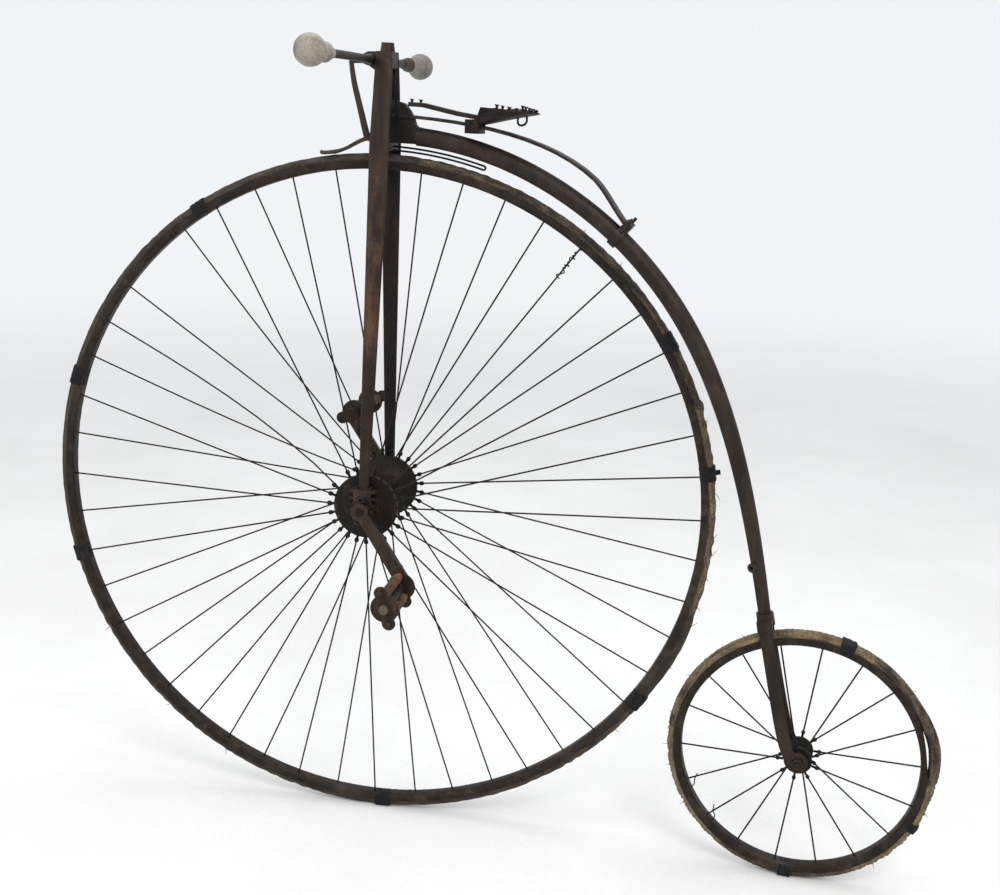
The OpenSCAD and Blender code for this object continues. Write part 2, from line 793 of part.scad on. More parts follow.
module spring_clamp() {
    band_w = 16;
    band_t = 4;
    lug = backbone_r + 6 - rest_gap;
    color([0.17, 0.13, 0.13]) placed() translate([0, 0, front_r]) rotate([0, -clamp_angle, 0])
        translate([ring_r, 0, 0]) {
            difference() {
                union() {
                    translate([0, 0, -band_w / 2]) cylinder(r = backbone_r + band_t, h = band_w);
                    translate([0, -leaf_w / 2, -band_w / 2]) cube([lug, leaf_w, band_w]);
                }
                translate([0, 0, -band_w]) cylinder(r = backbone_r + rest_gap, h = 2 * band_w);
            }
            translate([lug + leaf_t + 2 * rest_gap, -leaf_w / 2 - 3, -band_w / 2])
                cube([6, leaf_w + 6, band_w]);
            for (s = [left, right])
                translate([lug - 8, s * (leaf_w / 2 + 4), 0]) rotate([0, 90, 0])
                    cylinder(d = 6, h = 8 + leaf_t + 16);
        }
}

clip_x = 182;

module saddle_clip() {
    clip_l = 28;
    top = leaf_level - 8;
    color([0.12, 0.10, 0.11]) placed() difference() {
        translate([clip_x - clip_l / 2, -leaf_w / 2 - 5, top - 18]) cube([clip_l, leaf_w + 10, 25]);
        strip([for (i = [2:8]) curve(leaf_curve_a, i / 12)], leaf_t + 2 * rest_gap, leaf_w + 2 * rest_gap);
    }
}

// Strip from the neck to the clip; its hole held the nose of the leather
nose_path = [[56, leaf_level + 22], [84, leaf_level + 21], [150, leaf_level + 8], [200, leaf_level + 1]];
nose_t = 8;
nose_hole_x = 140;

module saddle_nose() {
    run = nose_path[2] - nose_path[1];
    at = nose_path[1] + run * (nose_hole_x - nose_path[1].x) / run.x;
    color([0.24, 0.21, 0.18]) placed() difference() {
        strip(nose_path, nose_t, 20);
        translate([at.x, 0, at.y]) rotate([0, -atan2(run.y, run.x), 0])
            translate([0, 0, -nose_t]) cylinder(d = nose_hole_d, h = 2 * nose_t);
    }
}

// Dished plate, narrow in front, with its edge turned up
module saddle_cantle() {
    across_n = 16;
    along_n = 6;
    plate_h = 3;
    function spot(s, v, lift) =
        let (mid = leaf_level - 10.5 + 21.5 * s)
        [192 + 26 * v * v + s * (108 - 80 * v * v), v * cantle_w / 2,
            mid + (leaf_level + 18 - mid) * pow(abs(v), 2.2) + lift];
    rings = [for (i = [0:across_n]) let (v = -1 + 2 * i / across_n)
        concat([for (k = [0:along_n]) spot(k / along_n, v, 0)],
            [for (k = [along_n:-1:0]) spot(k / along_n, v, plate_h)])];
    color([0.13, 0.10, 0.10]) placed() skin(rings);
}

// Wire loop for a strap under the cantle
module saddle_loop() {
    top = leaf_level + 12;
    low = leaf_level - 10;
    wire = 3.2;
    color([0.12, 0.10, 0.10]) placed() strip([[262, top], [264, low], [276, low + 4], [278, top]], wire, wire);
}

backbone();
neck();
step_boss();
rear_fork_crown();
rear_fork_left();
rear_fork_right();
rear_axle();
rear_axle_nuts();
saddle_spring();
spring_clamp();
saddle_clip();
saddle_nose();
saddle_cantle();
saddle_loop();
fork_blade_left();
fork_blade_right();
fork_crown();
head_top();
head_cap();
handlebar();
grip_left();
grip_right();
brake_arm();
brake_spoon();
brake_spring();
hub_bearing_left();
hub_bearing_right();
front_tyre();
front_rim();
front_hub();
front_axle();
front_spokes_left();
front_spokes_right();
crank_left();
crank_right();
pedal_pin_left();
pedal_pin_right();
pedal_left();
pedal_rubbers_left();
pedal_right();
pedal_rubbers_right();
rear_tyre();
rear_rim();
rear_hub();
rear_spokes_left();
rear_spokes_right();
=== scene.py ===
import json
import math
import bmesh
import bpy
import numpy as np
from mathutils import Matrix, Vector

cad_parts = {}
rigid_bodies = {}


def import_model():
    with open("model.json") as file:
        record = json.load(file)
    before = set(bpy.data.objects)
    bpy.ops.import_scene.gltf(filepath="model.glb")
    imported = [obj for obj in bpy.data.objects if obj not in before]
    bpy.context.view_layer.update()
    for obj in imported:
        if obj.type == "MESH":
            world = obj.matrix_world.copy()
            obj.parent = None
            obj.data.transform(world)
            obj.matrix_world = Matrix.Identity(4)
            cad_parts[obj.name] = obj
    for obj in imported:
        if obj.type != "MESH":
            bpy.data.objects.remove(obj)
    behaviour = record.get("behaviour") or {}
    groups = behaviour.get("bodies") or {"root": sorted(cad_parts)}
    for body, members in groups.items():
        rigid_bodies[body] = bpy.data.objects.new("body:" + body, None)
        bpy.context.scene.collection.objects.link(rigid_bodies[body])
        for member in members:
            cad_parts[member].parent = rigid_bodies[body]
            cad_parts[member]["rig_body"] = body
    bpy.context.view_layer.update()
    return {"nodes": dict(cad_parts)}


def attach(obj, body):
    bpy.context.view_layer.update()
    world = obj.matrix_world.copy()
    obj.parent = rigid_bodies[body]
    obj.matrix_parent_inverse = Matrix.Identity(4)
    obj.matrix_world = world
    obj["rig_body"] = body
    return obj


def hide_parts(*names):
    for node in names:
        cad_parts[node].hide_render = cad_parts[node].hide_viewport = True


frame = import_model()
nodes = frame["nodes"]
print("frame loaded")

# where things are: metres, forward is -X, the rider's left is -Y

machine = {
    "seat": (0.245, 0.0, 1.400),      # the part's origin above the ground under the front hub
    "frontRadius": 0.660,
    "rearRadius": 0.248,
    "wheelbase": 0.846,
    "turn": 5.2,                      # steering, degrees to the left
    "lean": 0.8,                      # steering head, degrees back
    "ringDepth": 0.0287,              # tyre and rim together
    "tyreThickness": 0.022,
}
seat = np.array(machine["seat"])


def turnY(degrees):
    a = math.radians(degrees)
    return np.array([[math.cos(a), 0, math.sin(a)], [0, 1, 0], [-math.sin(a), 0, math.cos(a)]])


def turnZ(degrees):
    a = math.radians(degrees)
    return np.array([[math.cos(a), -math.sin(a), 0], [math.sin(a), math.cos(a), 0], [0, 0, 1]])


steered = turnY(machine["lean"]) @ turnZ(machine["turn"])


def inFrame(p):
    return np.asarray(p, float) - seat


def inFork(p):
    return np.asarray(p, float) @ steered.T + (0, 0, machine["frontRadius"]) - seat


def inRear(p):
    return np.asarray(p, float) + (machine["wheelbase"], 0, machine["rearRadius"]) - seat


def polar(degrees, radius, side):
    # a place on a wheel: degrees from the rear towards the top, distance from the axle, distance to the right
    a = np.radians(degrees)
    return np.stack(np.broadcast_arrays(radius * np.cos(a), side, radius * np.sin(a)), -1)


def ripple(a, b, count, low, high, seed):
    # seeded sum of sines that closes on itself in both directions, about -1 to 1
    dice = np.random.default_rng(seed)
    total = np.zeros(np.broadcast(a, b).shape)
    for _ in range(count):
        k, m, phase = dice.integers(low, high + 1), dice.integers(-3, 4), dice.uniform(0, 2 * np.pi)
        total += np.sin(k * a + m * b + phase)
    return total / math.sqrt(count)


def within(a, start, end, soft):
    # 1 between two angles in degrees, falling softly to 0 outside them
    middle, half = (start + end) / 2, abs(end - start) / 2
    away = np.abs((a - middle + 180) % 360 - 180) - half
    return np.clip(1 - away / soft, 0, 1) * (away < soft)


# surfaces

def grid(points, closed=False, fields=None):
    # rows of points become faces; each row is a loop; open ends get a fan round their middle
    m, n = points.shape[:2]
    verts = points.reshape(-1, 3)
    rows = np.arange(m if closed else m - 1)[:, None]
    cols = np.arange(n)[None]
    nextRow, nextCol = (rows + 1) % m, (cols + 1) % n
    quads = np.stack([rows * n + cols, rows * n + nextCol, nextRow * n + nextCol, nextRow * n + cols], -1)
    quads = quads.reshape(-1, 4)
    tris = np.zeros((0, 3), int)
    fields = {key: np.broadcast_to(value, (m, n)).reshape(-1) for key, value in (fields or {}).items()}
    if not closed:
        verts = np.concatenate([verts, points[0].mean(0)[None], points[-1].mean(0)[None]])
        c = np.arange(n)
        first = np.stack([np.full(n, m * n), (c + 1) % n, c], -1)
        last = np.stack([np.full(n, m * n + 1), (m - 1) * n + c, (m - 1) * n + (c + 1) % n], -1)
        tris = np.concatenate([first, last])
        fields = {key: np.append(value, [value[:n].mean(), value[-n:].mean()]) for key, value in fields.items()}
    a, b, c, d = (verts[quads[:, i]] for i in range(4))
    volume = (a * np.cross(b, c)).sum() + (a * np.cross(c, d)).sum()
    if len(tris):
        e, f, g = (verts[tris[:, i]] for i in range(3))
        volume += (e * np.cross(f, g)).sum()
    if volume < 0:
        quads, tris = quads[:, ::-1], tris[:, ::-1]
    return verts, quads, tris, fields


def piece(name, parts, material, body, hides=(), sharp=38):
    verts, quads, tris, start = [], [], [], 0
    keys = sorted({key for p in parts for key in p[3]})
    fields = {key: [] for key in keys}
    for v, q, t, f in parts:
        verts.append(v)
        quads.append(q + start)
        tris.append(t + start)
        for key in keys:
            fields[key].append(f.get(key, np.zeros(len(v))))
        start += len(v)
    verts, quads, tris = np.concatenate(verts), np.concatenate(quads), np.concatenate(tris)
    mesh = bpy.data.meshes.new(name)
    mesh.vertices.add(len(verts))
    mesh.vertices.foreach_set("co", verts.astype(np.float32).ravel())
    mesh.loops.add(quads.size + tris.size)
    mesh.loops.foreach_set("vertex_index", np.concatenate([quads.ravel(), tris.ravel()]).astype(np.int32))
    mesh.polygons.add(len(quads) + len(tris))
    starts = np.concatenate([np.arange(len(quads)) * 4, quads.size + np.arange(len(tris)) * 3])
    mesh.polygons.foreach_set("loop_start", starts.astype(np.int32))
    mesh.polygons.foreach_set("use_smooth", np.ones(len(quads) + len(tris), bool))
    mesh.update(calc_edges=True)
    mesh.validate()
    mesh.set_sharp_from_angle(angle=math.radians(sharp))
    for key in keys:
        layer = mesh.attributes.new(key, "FLOAT", "POINT")
        layer.data.foreach_set("value", np.concatenate(fields[key]).astype(np.float32))
    return place(bpy.data.objects.new(name, mesh), material, body, hides)


def place(obj, material, body, hides):
    bpy.context.scene.collection.objects.link(obj)
    obj.data.materials.clear()
    obj.data.materials.append(material)
    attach(obj, body)
    if hides:
        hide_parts(*hides)
    return obj


def carry(node, material, bevel):
    # a CAD node with its corners joined, its edges eased and its round faces smooth
    body = nodes[node]["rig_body"]
    mesh = nodes[node].data.copy()
    mesh.name = node + "_eased"
    work = bmesh.new()
    work.from_mesh(mesh)
    bmesh.ops.remove_doubles(work, verts=work.verts, dist=0.00002)
    bmesh.ops.dissolve_limit(work, angle_limit=math.radians(1), verts=work.verts, edges=work.edges)
    bmesh.ops.triangulate(work, faces=[f for f in work.faces if len(f.verts) > 4])
    work.to_mesh(mesh)
    work.free()
    mesh.polygons.foreach_set("use_smooth", np.ones(len(mesh.polygons), bool))
    mesh.set_sharp_from_angle(angle=math.radians(38))
    obj = place(bpy.data.objects.new(node + "_eased", mesh), material, body, [node])
    ease = obj.modifiers.new("ease", "BEVEL")
    ease.width, ease.segments, ease.limit_method = bevel, 2, "ANGLE"
    ease.angle_limit = math.radians(42)
    return obj


def sweep(path, width, thick=None, side=(0, 1, 0), around=24, power=2.0, lumps=0.0, seed=0):
    # an oval, or a rounded box for a power above 2, carried along a path; thick is its size along side
    path = np.asarray(path, float)
    m = len(path)
    along = np.gradient(path, axis=0)
    along /= np.linalg.norm(along, axis=1)[:, None]
    s = np.asarray(side, float) - (along * side).sum(1)[:, None] * along
    s /= np.linalg.norm(s, axis=1)[:, None]
    t = np.cross(along, s)
    a = np.arange(around) * 2 * np.pi / around
    ca, sa = np.cos(a), np.sin(a)
    ca, sa = np.sign(ca) * np.abs(ca) ** (2 / power), np.sign(sa) * np.abs(sa) ** (2 / power)
    width = np.broadcast_to(width, (m,)) / 2
    thick = width if thick is None else np.broadcast_to(thick, (m,)) / 2
    swell = 1 + lumps * ripple(np.linspace(0, 2 * np.pi, m)[:, None], a[None], 14, 2, 30, seed)
    return path[:, None] + (width[:, None] * ca * swell)[..., None] * t[:, None] \
        + (thick[:, None] * sa * swell)[..., None] * s[:, None]


def revolve(profile, origin, axis, around=32, lumps=0.0, seed=0):
    # radius against distance, turned about an axis
    profile, axis = np.asarray(profile, float), np.asarray(axis, float)
    axis = axis / np.linalg.norm(axis)
    first = np.cross(axis, (0.3, 0.5, 0.81))
    first /= np.linalg.norm(first)
    second = np.cross(axis, first)
    a = np.arange(around) * 2 * np.pi / around
    swell = 1 + lumps * ripple(np.linspace(0, 2 * np.pi, len(profile))[:, None], a[None], 14, 2, 12, seed)
    ring = (np.cos(a)[None] * profile[:, 1:] * swell)[..., None] * first \
        + (np.sin(a)[None] * profile[:, 1:] * swell)[..., None] * second
    return np.asarray(origin, float) + profile[:, None, :1] * axis + ring


def bolt(at, axis, width, height, sides=6):
    # a nut or bolt head with its corners taken off
    r = width / 2
    return grid(revolve([(-height * 0.3, r), (height * 0.8, r), (height, r * 0.8)], at, axis, sides))


def bend(points, steps):
    # a smooth path through a few places: a cubic between each two, as steep as the line between its neighbours
    points = np.asarray(points, float)
    at = np.linspace(0, len(points) - 1, steps)
    i = np.clip(at.astype(int), 0, len(points) - 2)
    t = (at - i)[:, None]
    padded = np.concatenate([2 * points[:1] - points[1:2], points, 2 * points[-1:] - points[-2:-1]])
    a, b, c, d = padded[i], padded[i + 1], padded[i + 2], padded[i + 3]
    return b + 0.5 * t * (c - a + t * (2 * a - 5 * b + 4 * c - d + t * (3 * (b - c) + d - a)))


# materials

class Wire:
    # one socket of a material; arithmetic on it adds the nodes
    def __init__(self, kit, socket):
        self.kit, self.socket = kit, socket

    def __add__(self, other): return self.kit.maths("ADD", self, other)
    def __radd__(self, other): return self.kit.maths("ADD", other, self)
    def __mul__(self, other): return self.kit.maths("MULTIPLY", self, other)
    def __rmul__(self, other): return self.kit.maths("MULTIPLY", other, self)
    def __sub__(self, other): return self.kit.maths("SUBTRACT", self, other)
    def __rsub__(self, other): return self.kit.maths("SUBTRACT", other, self)

    def ramp(self, low, high):
        values = {"Value": self, "From Min": low, "From Max": high}
        return self.kit.add("ShaderNodeMapRange", {"interpolation_type": "SMOOTHSTEP"}, values)


class Kit:
    # one material and its nodes
    def __init__(self, name, **constants):
        self.material = bpy.data.materials.new(name)
        self.material.use_nodes = True
        self.tree = self.material.node_tree
        self.shader = self.tree.nodes["Principled BSDF"]
        for key, value in constants.items():
            self.shader.inputs[key.replace("_", " ")].default_value = value
        self.here = self.add("ShaderNodeTexCoord", {}, {}, "Object")

    def feed(self, socket, value):
        if isinstance(value, Wire):
            self.tree.links.new(value.socket, socket)
        elif isinstance(value, tuple) and len(value) == 3 and socket.type == "RGBA":
            socket.default_value = value + (1.0,)
        else:
            socket.default_value = value

    def add(self, kind, settings=None, values=None, out=0):
        node = self.tree.nodes.new(kind)
        for key, value in (settings or {}).items():
            setattr(node, key, value)
        for key, value in (values or {}).items():
            self.feed(node.inputs[key], value)
        return Wire(self, node.outputs[out])

    def maths(self, kind, *values):
        return self.add("ShaderNodeMath", {"operation": kind}, dict(enumerate(values)))

    def noise(self, scale, detail=6.0, rough=0.6, stretch=(1, 1, 1), twist=0.0, spot=None):
        spot = self.add("ShaderNodeMapping", {}, {"Vector": spot or self.here, "Scale": stretch})
        values = {"Vector": spot, "Scale": scale, "Detail": detail, "Roughness": rough, "Distortion": twist}
        return self.add("ShaderNodeTexNoise", {}, values, "Fac")

    def cells(self, scale, feature="F1"):
        values = {"Vector": self.here, "Scale": scale}
        return self.add("ShaderNodeTexVoronoi", {"feature": feature}, values, "Distance")

    def field(self, name):
        return self.add("ShaderNodeAttribute", {"attribute_name": name}, {}, "Fac")

    def mix(self, factor, a, b, kind="MIX"):
        node = self.tree.nodes.new("ShaderNodeMix")
        node.data_type, node.blend_type, node.clamp_factor = "RGBA", kind, True
        for socket, value in ((node.inputs[0], factor), (node.inputs[6], a), (node.inputs[7], b)):
            self.feed(socket, value)
        return Wire(self, node.outputs[2])

    def bump(self, height, depth, strength=0.8):
        return self.add("ShaderNodeBump", {}, {"Height": height, "Distance": depth, "Strength": strength})

    def done(self, **inputs):
        for key, value in inputs.items():
            self.feed(self.shader.inputs[key.replace("_", " ")], value)
        return self.material


ironTone = (0.79, 0.69, 0.73)       # one warm shade over all the irons


def oldIron(name, dark, brown, rustRed, orange, patch, edge, specks, dust, look):
    # colour: black and brown mixed by a broad noise, then rust where broad, streaked and fine noises add up,
    # then pale dust where a very broad noise is high; roughness: base plus rust; relief: pits in the rust
    k = Kit(name, Specular_IOR_Level=0.26)
    shade = look.get("shade", 1.0)
    dark, brown, rustRed, orange = (tuple(c * t * shade for c, t in zip(colour, ironTone))
                                    for colour in (dark, brown, rustRed, orange))
    broad = k.noise(patch, 5, 0.65)
    streak = k.noise(patch * 2.2, 5, 0.7, look.get("streak", (1, 1, 0.22)), 0.4)
    fine = k.noise(520, 4, 0.7)
    grit = k.noise(1700, 3, 0.7)
    rust = (broad * 0.45 + streak * 0.55 + fine * 0.18).ramp(edge, edge + 0.16)
    speck = (fine * 0.6 + grit * 0.4).ramp(0.56, 0.66)
    rustAll = k.maths("MINIMUM", rust + speck * specks, 1.0)
    under = k.mix(streak.ramp(0.35, 0.7), dark, brown)
    rusty = k.mix(fine.ramp(0.35, 0.65), rustRed, orange)
    colour = k.mix(rustAll, under, rusty)
    colour = k.mix(k.noise(9, 4, 0.6).ramp(0.5, 0.75) * dust, colour, (0.20, 0.16, 0.13))
    relief = fine * 0.5 + grit * 0.25 - rustAll * k.cells(420).ramp(0.1, 0.5) * 0.5
    return k.done(Base_Color=colour, Metallic=(1 - rustAll) * look.get("metal", 0.55),
                  Roughness=0.48 + rustAll * 0.34 + fine * 0.1,
                  Normal=k.bump(relief, look.get("relief", 0.0005)))


# for each iron: dark, brown, rust red and orange, then blotches per metre, how rare the rust is, specks,
# dust, and what else sets it apart
ironLooks = {
    "frameIron": ((0.024, 0.020, 0.015), (0.050, 0.038, 0.025), (0.068, 0.045, 0.023), (0.108, 0.068, 0.029),
        16, 0.66, 0.18, 0.1, {}),
    "bladeIron": ((0.027, 0.021, 0.016), (0.064, 0.043, 0.025), (0.084, 0.050, 0.023), (0.150, 0.084, 0.032),
        14, 0.6, 0.3, 0.1, {"shade": 0.88}),
    # the far iron below is the blade's iron darkened all over as painted shade, for parts on the far side
    "farIron": ((0.011, 0.010, 0.009), (0.024, 0.020, 0.015), (0.038, 0.026, 0.014), (0.060, 0.038, 0.017),
        15, 0.7, 0.12, 0.05, {}),
    "hubIron": ((0.010, 0.008, 0.006), (0.022, 0.017, 0.012), (0.040, 0.025, 0.012), (0.076, 0.045, 0.016),
        26, 0.64, 0.22, 0.05, {}),
    "crankSteel": ((0.036, 0.029, 0.016), (0.076, 0.058, 0.029), (0.092, 0.056, 0.019), (0.192, 0.107, 0.024),
        30, 0.63, 0.22, 0.14, {"metal": 0.35, "shade": 0.72}),
    "pedalSteel": ((0.018, 0.014, 0.009), (0.044, 0.032, 0.017), (0.068, 0.040, 0.015), (0.136, 0.077, 0.022),
        34, 0.6, 0.3, 0.12, {}),
    "bossRust": ((0.112, 0.066, 0.017), (0.160, 0.095, 0.026), (0.224, 0.121, 0.024), (0.336, 0.189, 0.040),
        40, 0.52, 0.4, 0.1, {"metal": 0.2}),
    # the near pin's iron: a pale greenish tone, partly its own colour and partly painted highlight
    "pinSteel": ((0.090, 0.085, 0.050), (0.170, 0.160, 0.100), (0.120, 0.085, 0.036), (0.220, 0.150, 0.060),
        60, 0.66, 0.3, 0.1, {"metal": 0.5}),
    "springSteel": ((0.019, 0.017, 0.015), (0.048, 0.041, 0.031), (0.056, 0.040, 0.023), (0.092, 0.063, 0.032),
        24, 0.66, 0.22, 0.22, {}),
    "saddleIron": ((0.011, 0.008, 0.007), (0.027, 0.021, 0.015), (0.044, 0.029, 0.017), (0.068, 0.044, 0.022),
        40, 0.64, 0.3, 0.08, {"relief": 0.0009}),
    "barSteel": ((0.024, 0.021, 0.017), (0.053, 0.043, 0.032), (0.068, 0.046, 0.024), (0.104, 0.069, 0.032),
        30, 0.68, 0.25, 0.12, {}),
    "wireSteel": ((0.008, 0.007, 0.006), (0.018, 0.015, 0.012), (0.036, 0.024, 0.014), (0.064, 0.041, 0.019),
        22, 0.68, 0.2, 0.04, {"streak": (1, 1, 1)}),
    "rimIron": ((0.018, 0.015, 0.011), (0.040, 0.031, 0.021), (0.056, 0.037, 0.019), (0.092, 0.059, 0.025),
        20, 0.64, 0.24, 0.16, {"streak": (1, 1, 1)}),
}
iron = {name: oldIron(name, *look) for name, look in ironLooks.items()}

rubberLook = {"black": (0.018, 0.014, 0.011), "brown": (0.055, 0.040, 0.026), "tan": (0.125, 0.090, 0.052),
              "pale": (0.29, 0.215, 0.120), "crackScale": 150}


def oldRubber(name, look, base):
    # colour: black to brown by broad blotches and lengthwise streaks; tan, then pale straw, where the worn
    # field and those noises add up; relief: crazed cracks from cell borders plus grain; worn parts are rougher
    k = Kit(name, Specular_IOR_Level=0.3)
    worn = k.field("worn")
    places = {"X": k.field("run") * 0.16, "Y": k.field("over"), "Z": worn * 0.02}
    lengthwise = k.add("ShaderNodeCombineXYZ", {}, places)
    streak = k.noise(150, 5, 0.65, spot=lengthwise)
    broad, fine = k.noise(26, 5, 0.7), k.noise(380, 5, 0.75)
    cracks = k.cells(look["crackScale"], "DISTANCE_TO_EDGE").ramp(0.0, 0.05)
    torn = (worn * 0.42 + streak * 0.55 + broad * 0.45 + fine * 0.28 - 0.85 + base).ramp(0.0, 0.26)
    flakes = (worn * 0.30 + streak * 0.5 + fine * 0.65 + broad * 0.25 - 0.99 + base).ramp(0.02, 0.14)
    colour = k.mix((broad * 0.5 + streak * 0.6).ramp(0.42, 0.68), look["black"], look["brown"])
    colour = k.mix(torn, colour, look["tan"])
    colour = k.mix(flakes, colour, look["pale"])
    colour = k.mix((1 - cracks) * 0.65, colour, (0.014, 0.011, 0.009))
    relief = cracks * 0.5 + fine * (0.5 + torn * 0.8) + streak * 0.6 + k.noise(1300, 3, 0.7) * 0.3
    return k.done(Base_Color=colour, Roughness=0.72 + torn * 0.2, Normal=k.bump(relief, 0.0011, 0.9))


def bone(name, look):
    # colour: pale bone, browned by a stretched noise, greyed in broad spots, darkened in fine specks;
    # relief: the stretched noise and the fine one
    k = Kit(name, Specular_IOR_Level=0.4, Coat_Roughness=0.45)
    broad, fine = k.noise(38, 5, 0.65), k.noise(420, 5, 0.7)
    grain = k.noise(85, 5, 0.75, (3.5, 1, 3.5), 0.6)
    stain = (broad * 0.5 + grain * 0.6).ramp(0.46, 0.70)
    speck = fine.ramp(0.60, 0.70)
    colour = k.mix(stain, look["pale"], look["stain"])
    colour = k.mix(k.noise(16, 3, 0.6).ramp(0.5, 0.72) * 0.6, colour, look["grey"])
    colour = k.mix(speck * 0.55, colour, (0.09, 0.065, 0.045))
    return k.done(Base_Color=colour, Roughness=0.46 + stain * 0.25, Coat_Weight=(1 - stain) * 0.12,
                  Normal=k.bump(grain * 0.5 + fine * 0.3, 0.0003, 0.4))


def clothTape(name, look):
    # colour: dull black with grey rubbed spots; relief: fine crossed threads and broad wrinkles
    k = Kit(name, Specular_IOR_Level=0.15)
    rubbed = (k.noise(60, 5, 0.7) * 0.6 + k.noise(600, 4, 0.7) * 0.5).ramp(0.52, 0.75)
    threads = k.noise(2600, 2, 0.5, (1, 0.25, 1))
    return k.done(Base_Color=k.mix(rubbed, look["black"], look["rubbed"]), Roughness=0.62 + rubbed * 0.25,
                  Normal=k.bump(threads * 0.4 + k.noise(120, 4, 0.6) * 0.8, 0.0009, 0.8))


tyreRubber = oldRubber("tyreRubber", rubberLook, 0.0)
rearRubberLook = {**rubberLook, "brown": (0.070, 0.051, 0.031), "tan": (0.16, 0.118, 0.066)}
rearRubber = oldRubber("rearRubber", rearRubberLook, 0.05)
pedalRubberLook = {**rubberLook, "brown": (0.060, 0.030, 0.016), "tan": (0.13, 0.058, 0.024),
                "pale": (0.42, 0.20, 0.070), "crackScale": 230}
pedalRubber = oldRubber("pedalRubber", pedalRubberLook, 0.0)
boneNear = bone("boneNear", {"pale": (0.285, 0.258, 0.205), "stain": (0.145, 0.118, 0.080),
                             "grey": (0.165, 0.158, 0.135)})
# the far grip's bone is the near one darkened all over: painted shade
boneFar = bone("boneFar", {"pale": (0.150, 0.143, 0.124), "stain": (0.085, 0.074, 0.057),
                           "grey": (0.078, 0.078, 0.070)})
tape = clothTape("tape", {"black": (0.006, 0.006, 0.007), "rubbed": (0.030, 0.030, 0.032)})
print("materials made")

# tyres

frontTyre = {
    "stations": 1500, "rough": 0.0006, "seed": 3,
    # angles in degrees from the rear towards the top: start, end, how worn, how much is gone from the outside
    "worn": [(22, 84, 0.72, 0.0010), (-15, 20, 0.95, 0.0026), (-60, -37, 0.7, 0.0016),
             (-162, -100, 0.45, 0.0012), (96, 150, 0.4, 0.0005)],
    "lumps": [(20.7, 1.1, 0.0030), (-23, 7.0, 0.0018), (-34, 1.2, 0.0018)],   # angle, half length, height
    "tape": [(162.9, 1.6), (123.8, 1.3), (32.4, 1.5), (9.4, 1.2), (-34.2, 1.5), (-87.3, 1.3), (-163.8, 1.4)],
    "strands": [18, 6.0, -1.5, -4.8, -9.0, -14.0, -17.5, -26.0, -41, -118, -131, -149, 47, 55],
}


def tyreGrid(radius, look):
    # radius of the section = plain radius + fine ripple - what is gone + lumps, thinner on the outer side
    # the first station lies under a tape band, where the lengthwise field starts and ends
    stations, around, seed = look["stations"], 28, look["seed"]
    a = look["tape"][0][0] + np.linspace(0, 360, stations, endpoint=False)[:, None]
    b = np.linspace(-np.pi, np.pi, around, endpoint=False)[None]
    turn = np.radians(a)
    outer = np.clip(np.cos(b), 0, 1)
    worn = np.zeros((stations, around))
    section = np.full((stations, around), machine["tyreThickness"] / 2)
    section += look["rough"] * ripple(turn, b, 22, 20, 170, seed) * 0.5
    for start, end, level, gone in look["worn"]:
        here = within(a, start, end, 2.5)
        ragged = 0.5 + 0.5 * ripple(turn, b, 26, 30, 200, seed + 1)
        worn = np.maximum(worn, here * level)
        section -= here * gone * np.clip(ragged, 0, 1.6) * outer
    for middle, half, height in look["lumps"]:
        section += height * within(a, middle - half * 0.4, middle + half * 0.4, half * 0.6) * (0.5 + outer)
    r = radius - machine["tyreThickness"] / 2 + section * np.cos(b)
    fields = {"worn": worn, "run": radius * turn, "over": b * machine["tyreThickness"] / 2}
    return polar(a + b * 0, r, section * np.sin(b)), fields


def strands(angles, radius, seed):
    # torn threads of rubber that stand off the outside, each a short curl
    dice = np.random.default_rng(seed)
    curls = []
    for angle in angles:
        side, out, lean = dice.uniform(-0.008, 0.002), dice.uniform(0.004, 0.009), dice.uniform(-0.7, 0.7)
        r = radius + np.array([-0.003, 0.0, 0.5 * out, out])
        path = polar(angle + lean * np.array([0, 0.2, 0.8, 1.6]) * out / 0.006, r,
                     side + np.array([0, 0, -0.001, -0.003]))
        curls.append(sweep(bend(path, 9), np.linspace(0.0018, 0.0006, 9), around=6))
    return curls


points, fields = tyreGrid(machine["frontRadius"], frontTyre)
piece("tyreFront", [grid(inFork(points), True, fields)], tyreRubber, "front_wheel", ["front_tyre"],
      sharp=60)

rearTyre = {
    "stations": 900, "rough": 0.0004, "seed": 8,
    "worn": [(-180, 180, 0.55, 0.0003), (60, 168, 0.80, 0.0005), (-60, -5, 0.9, 0.0024),
             (-185, -128, 0.9, 0.0022)],
    "lumps": [(-26.5, 3.0, 0.0035), (72.5, 2.0, 0.0010)],
    "tape": [(72.5, 3.2), (-92.2, 2.8), (-26.5, 2.2)],
    "lifted": (12, 27, 0.0080),       # middle, half length and height of the stretch that stands off the rim
    "lipDrop": 0.0042,                # how far the rim's lips are worn down there
    "strands": [128, 117, 149, 168, -176, -166, -148, -141, -52, -18, 40],
}
points, fields = tyreGrid(machine["rearRadius"], rearTyre)


def hump(angles, middle, half):
    # 1 in the middle, falling to 0 at either end like a squared cosine
    away = np.abs((angles - middle + 180) % 360 - 180) / half
    return np.cos(np.clip(away, 0, 1) * np.pi / 2) ** 2


liftMiddle, liftHalf, liftHeight = rearTyre["lifted"]
turned = rearTyre["tape"][0][0] + np.linspace(0, 360, rearTyre["stations"], endpoint=False)[:, None]
outwards = points / np.linalg.norm(points * (1, 0, 1), axis=-1)[..., None] * (1, 0, 1)
points = points + outwards * (liftHeight * hump(turned, liftMiddle, liftHalf))[..., None]
piece("tyreRear", [grid(inRear(points), True, fields)], rearRubber, "rear_wheel", ["rear_tyre"],
      sharp=60)


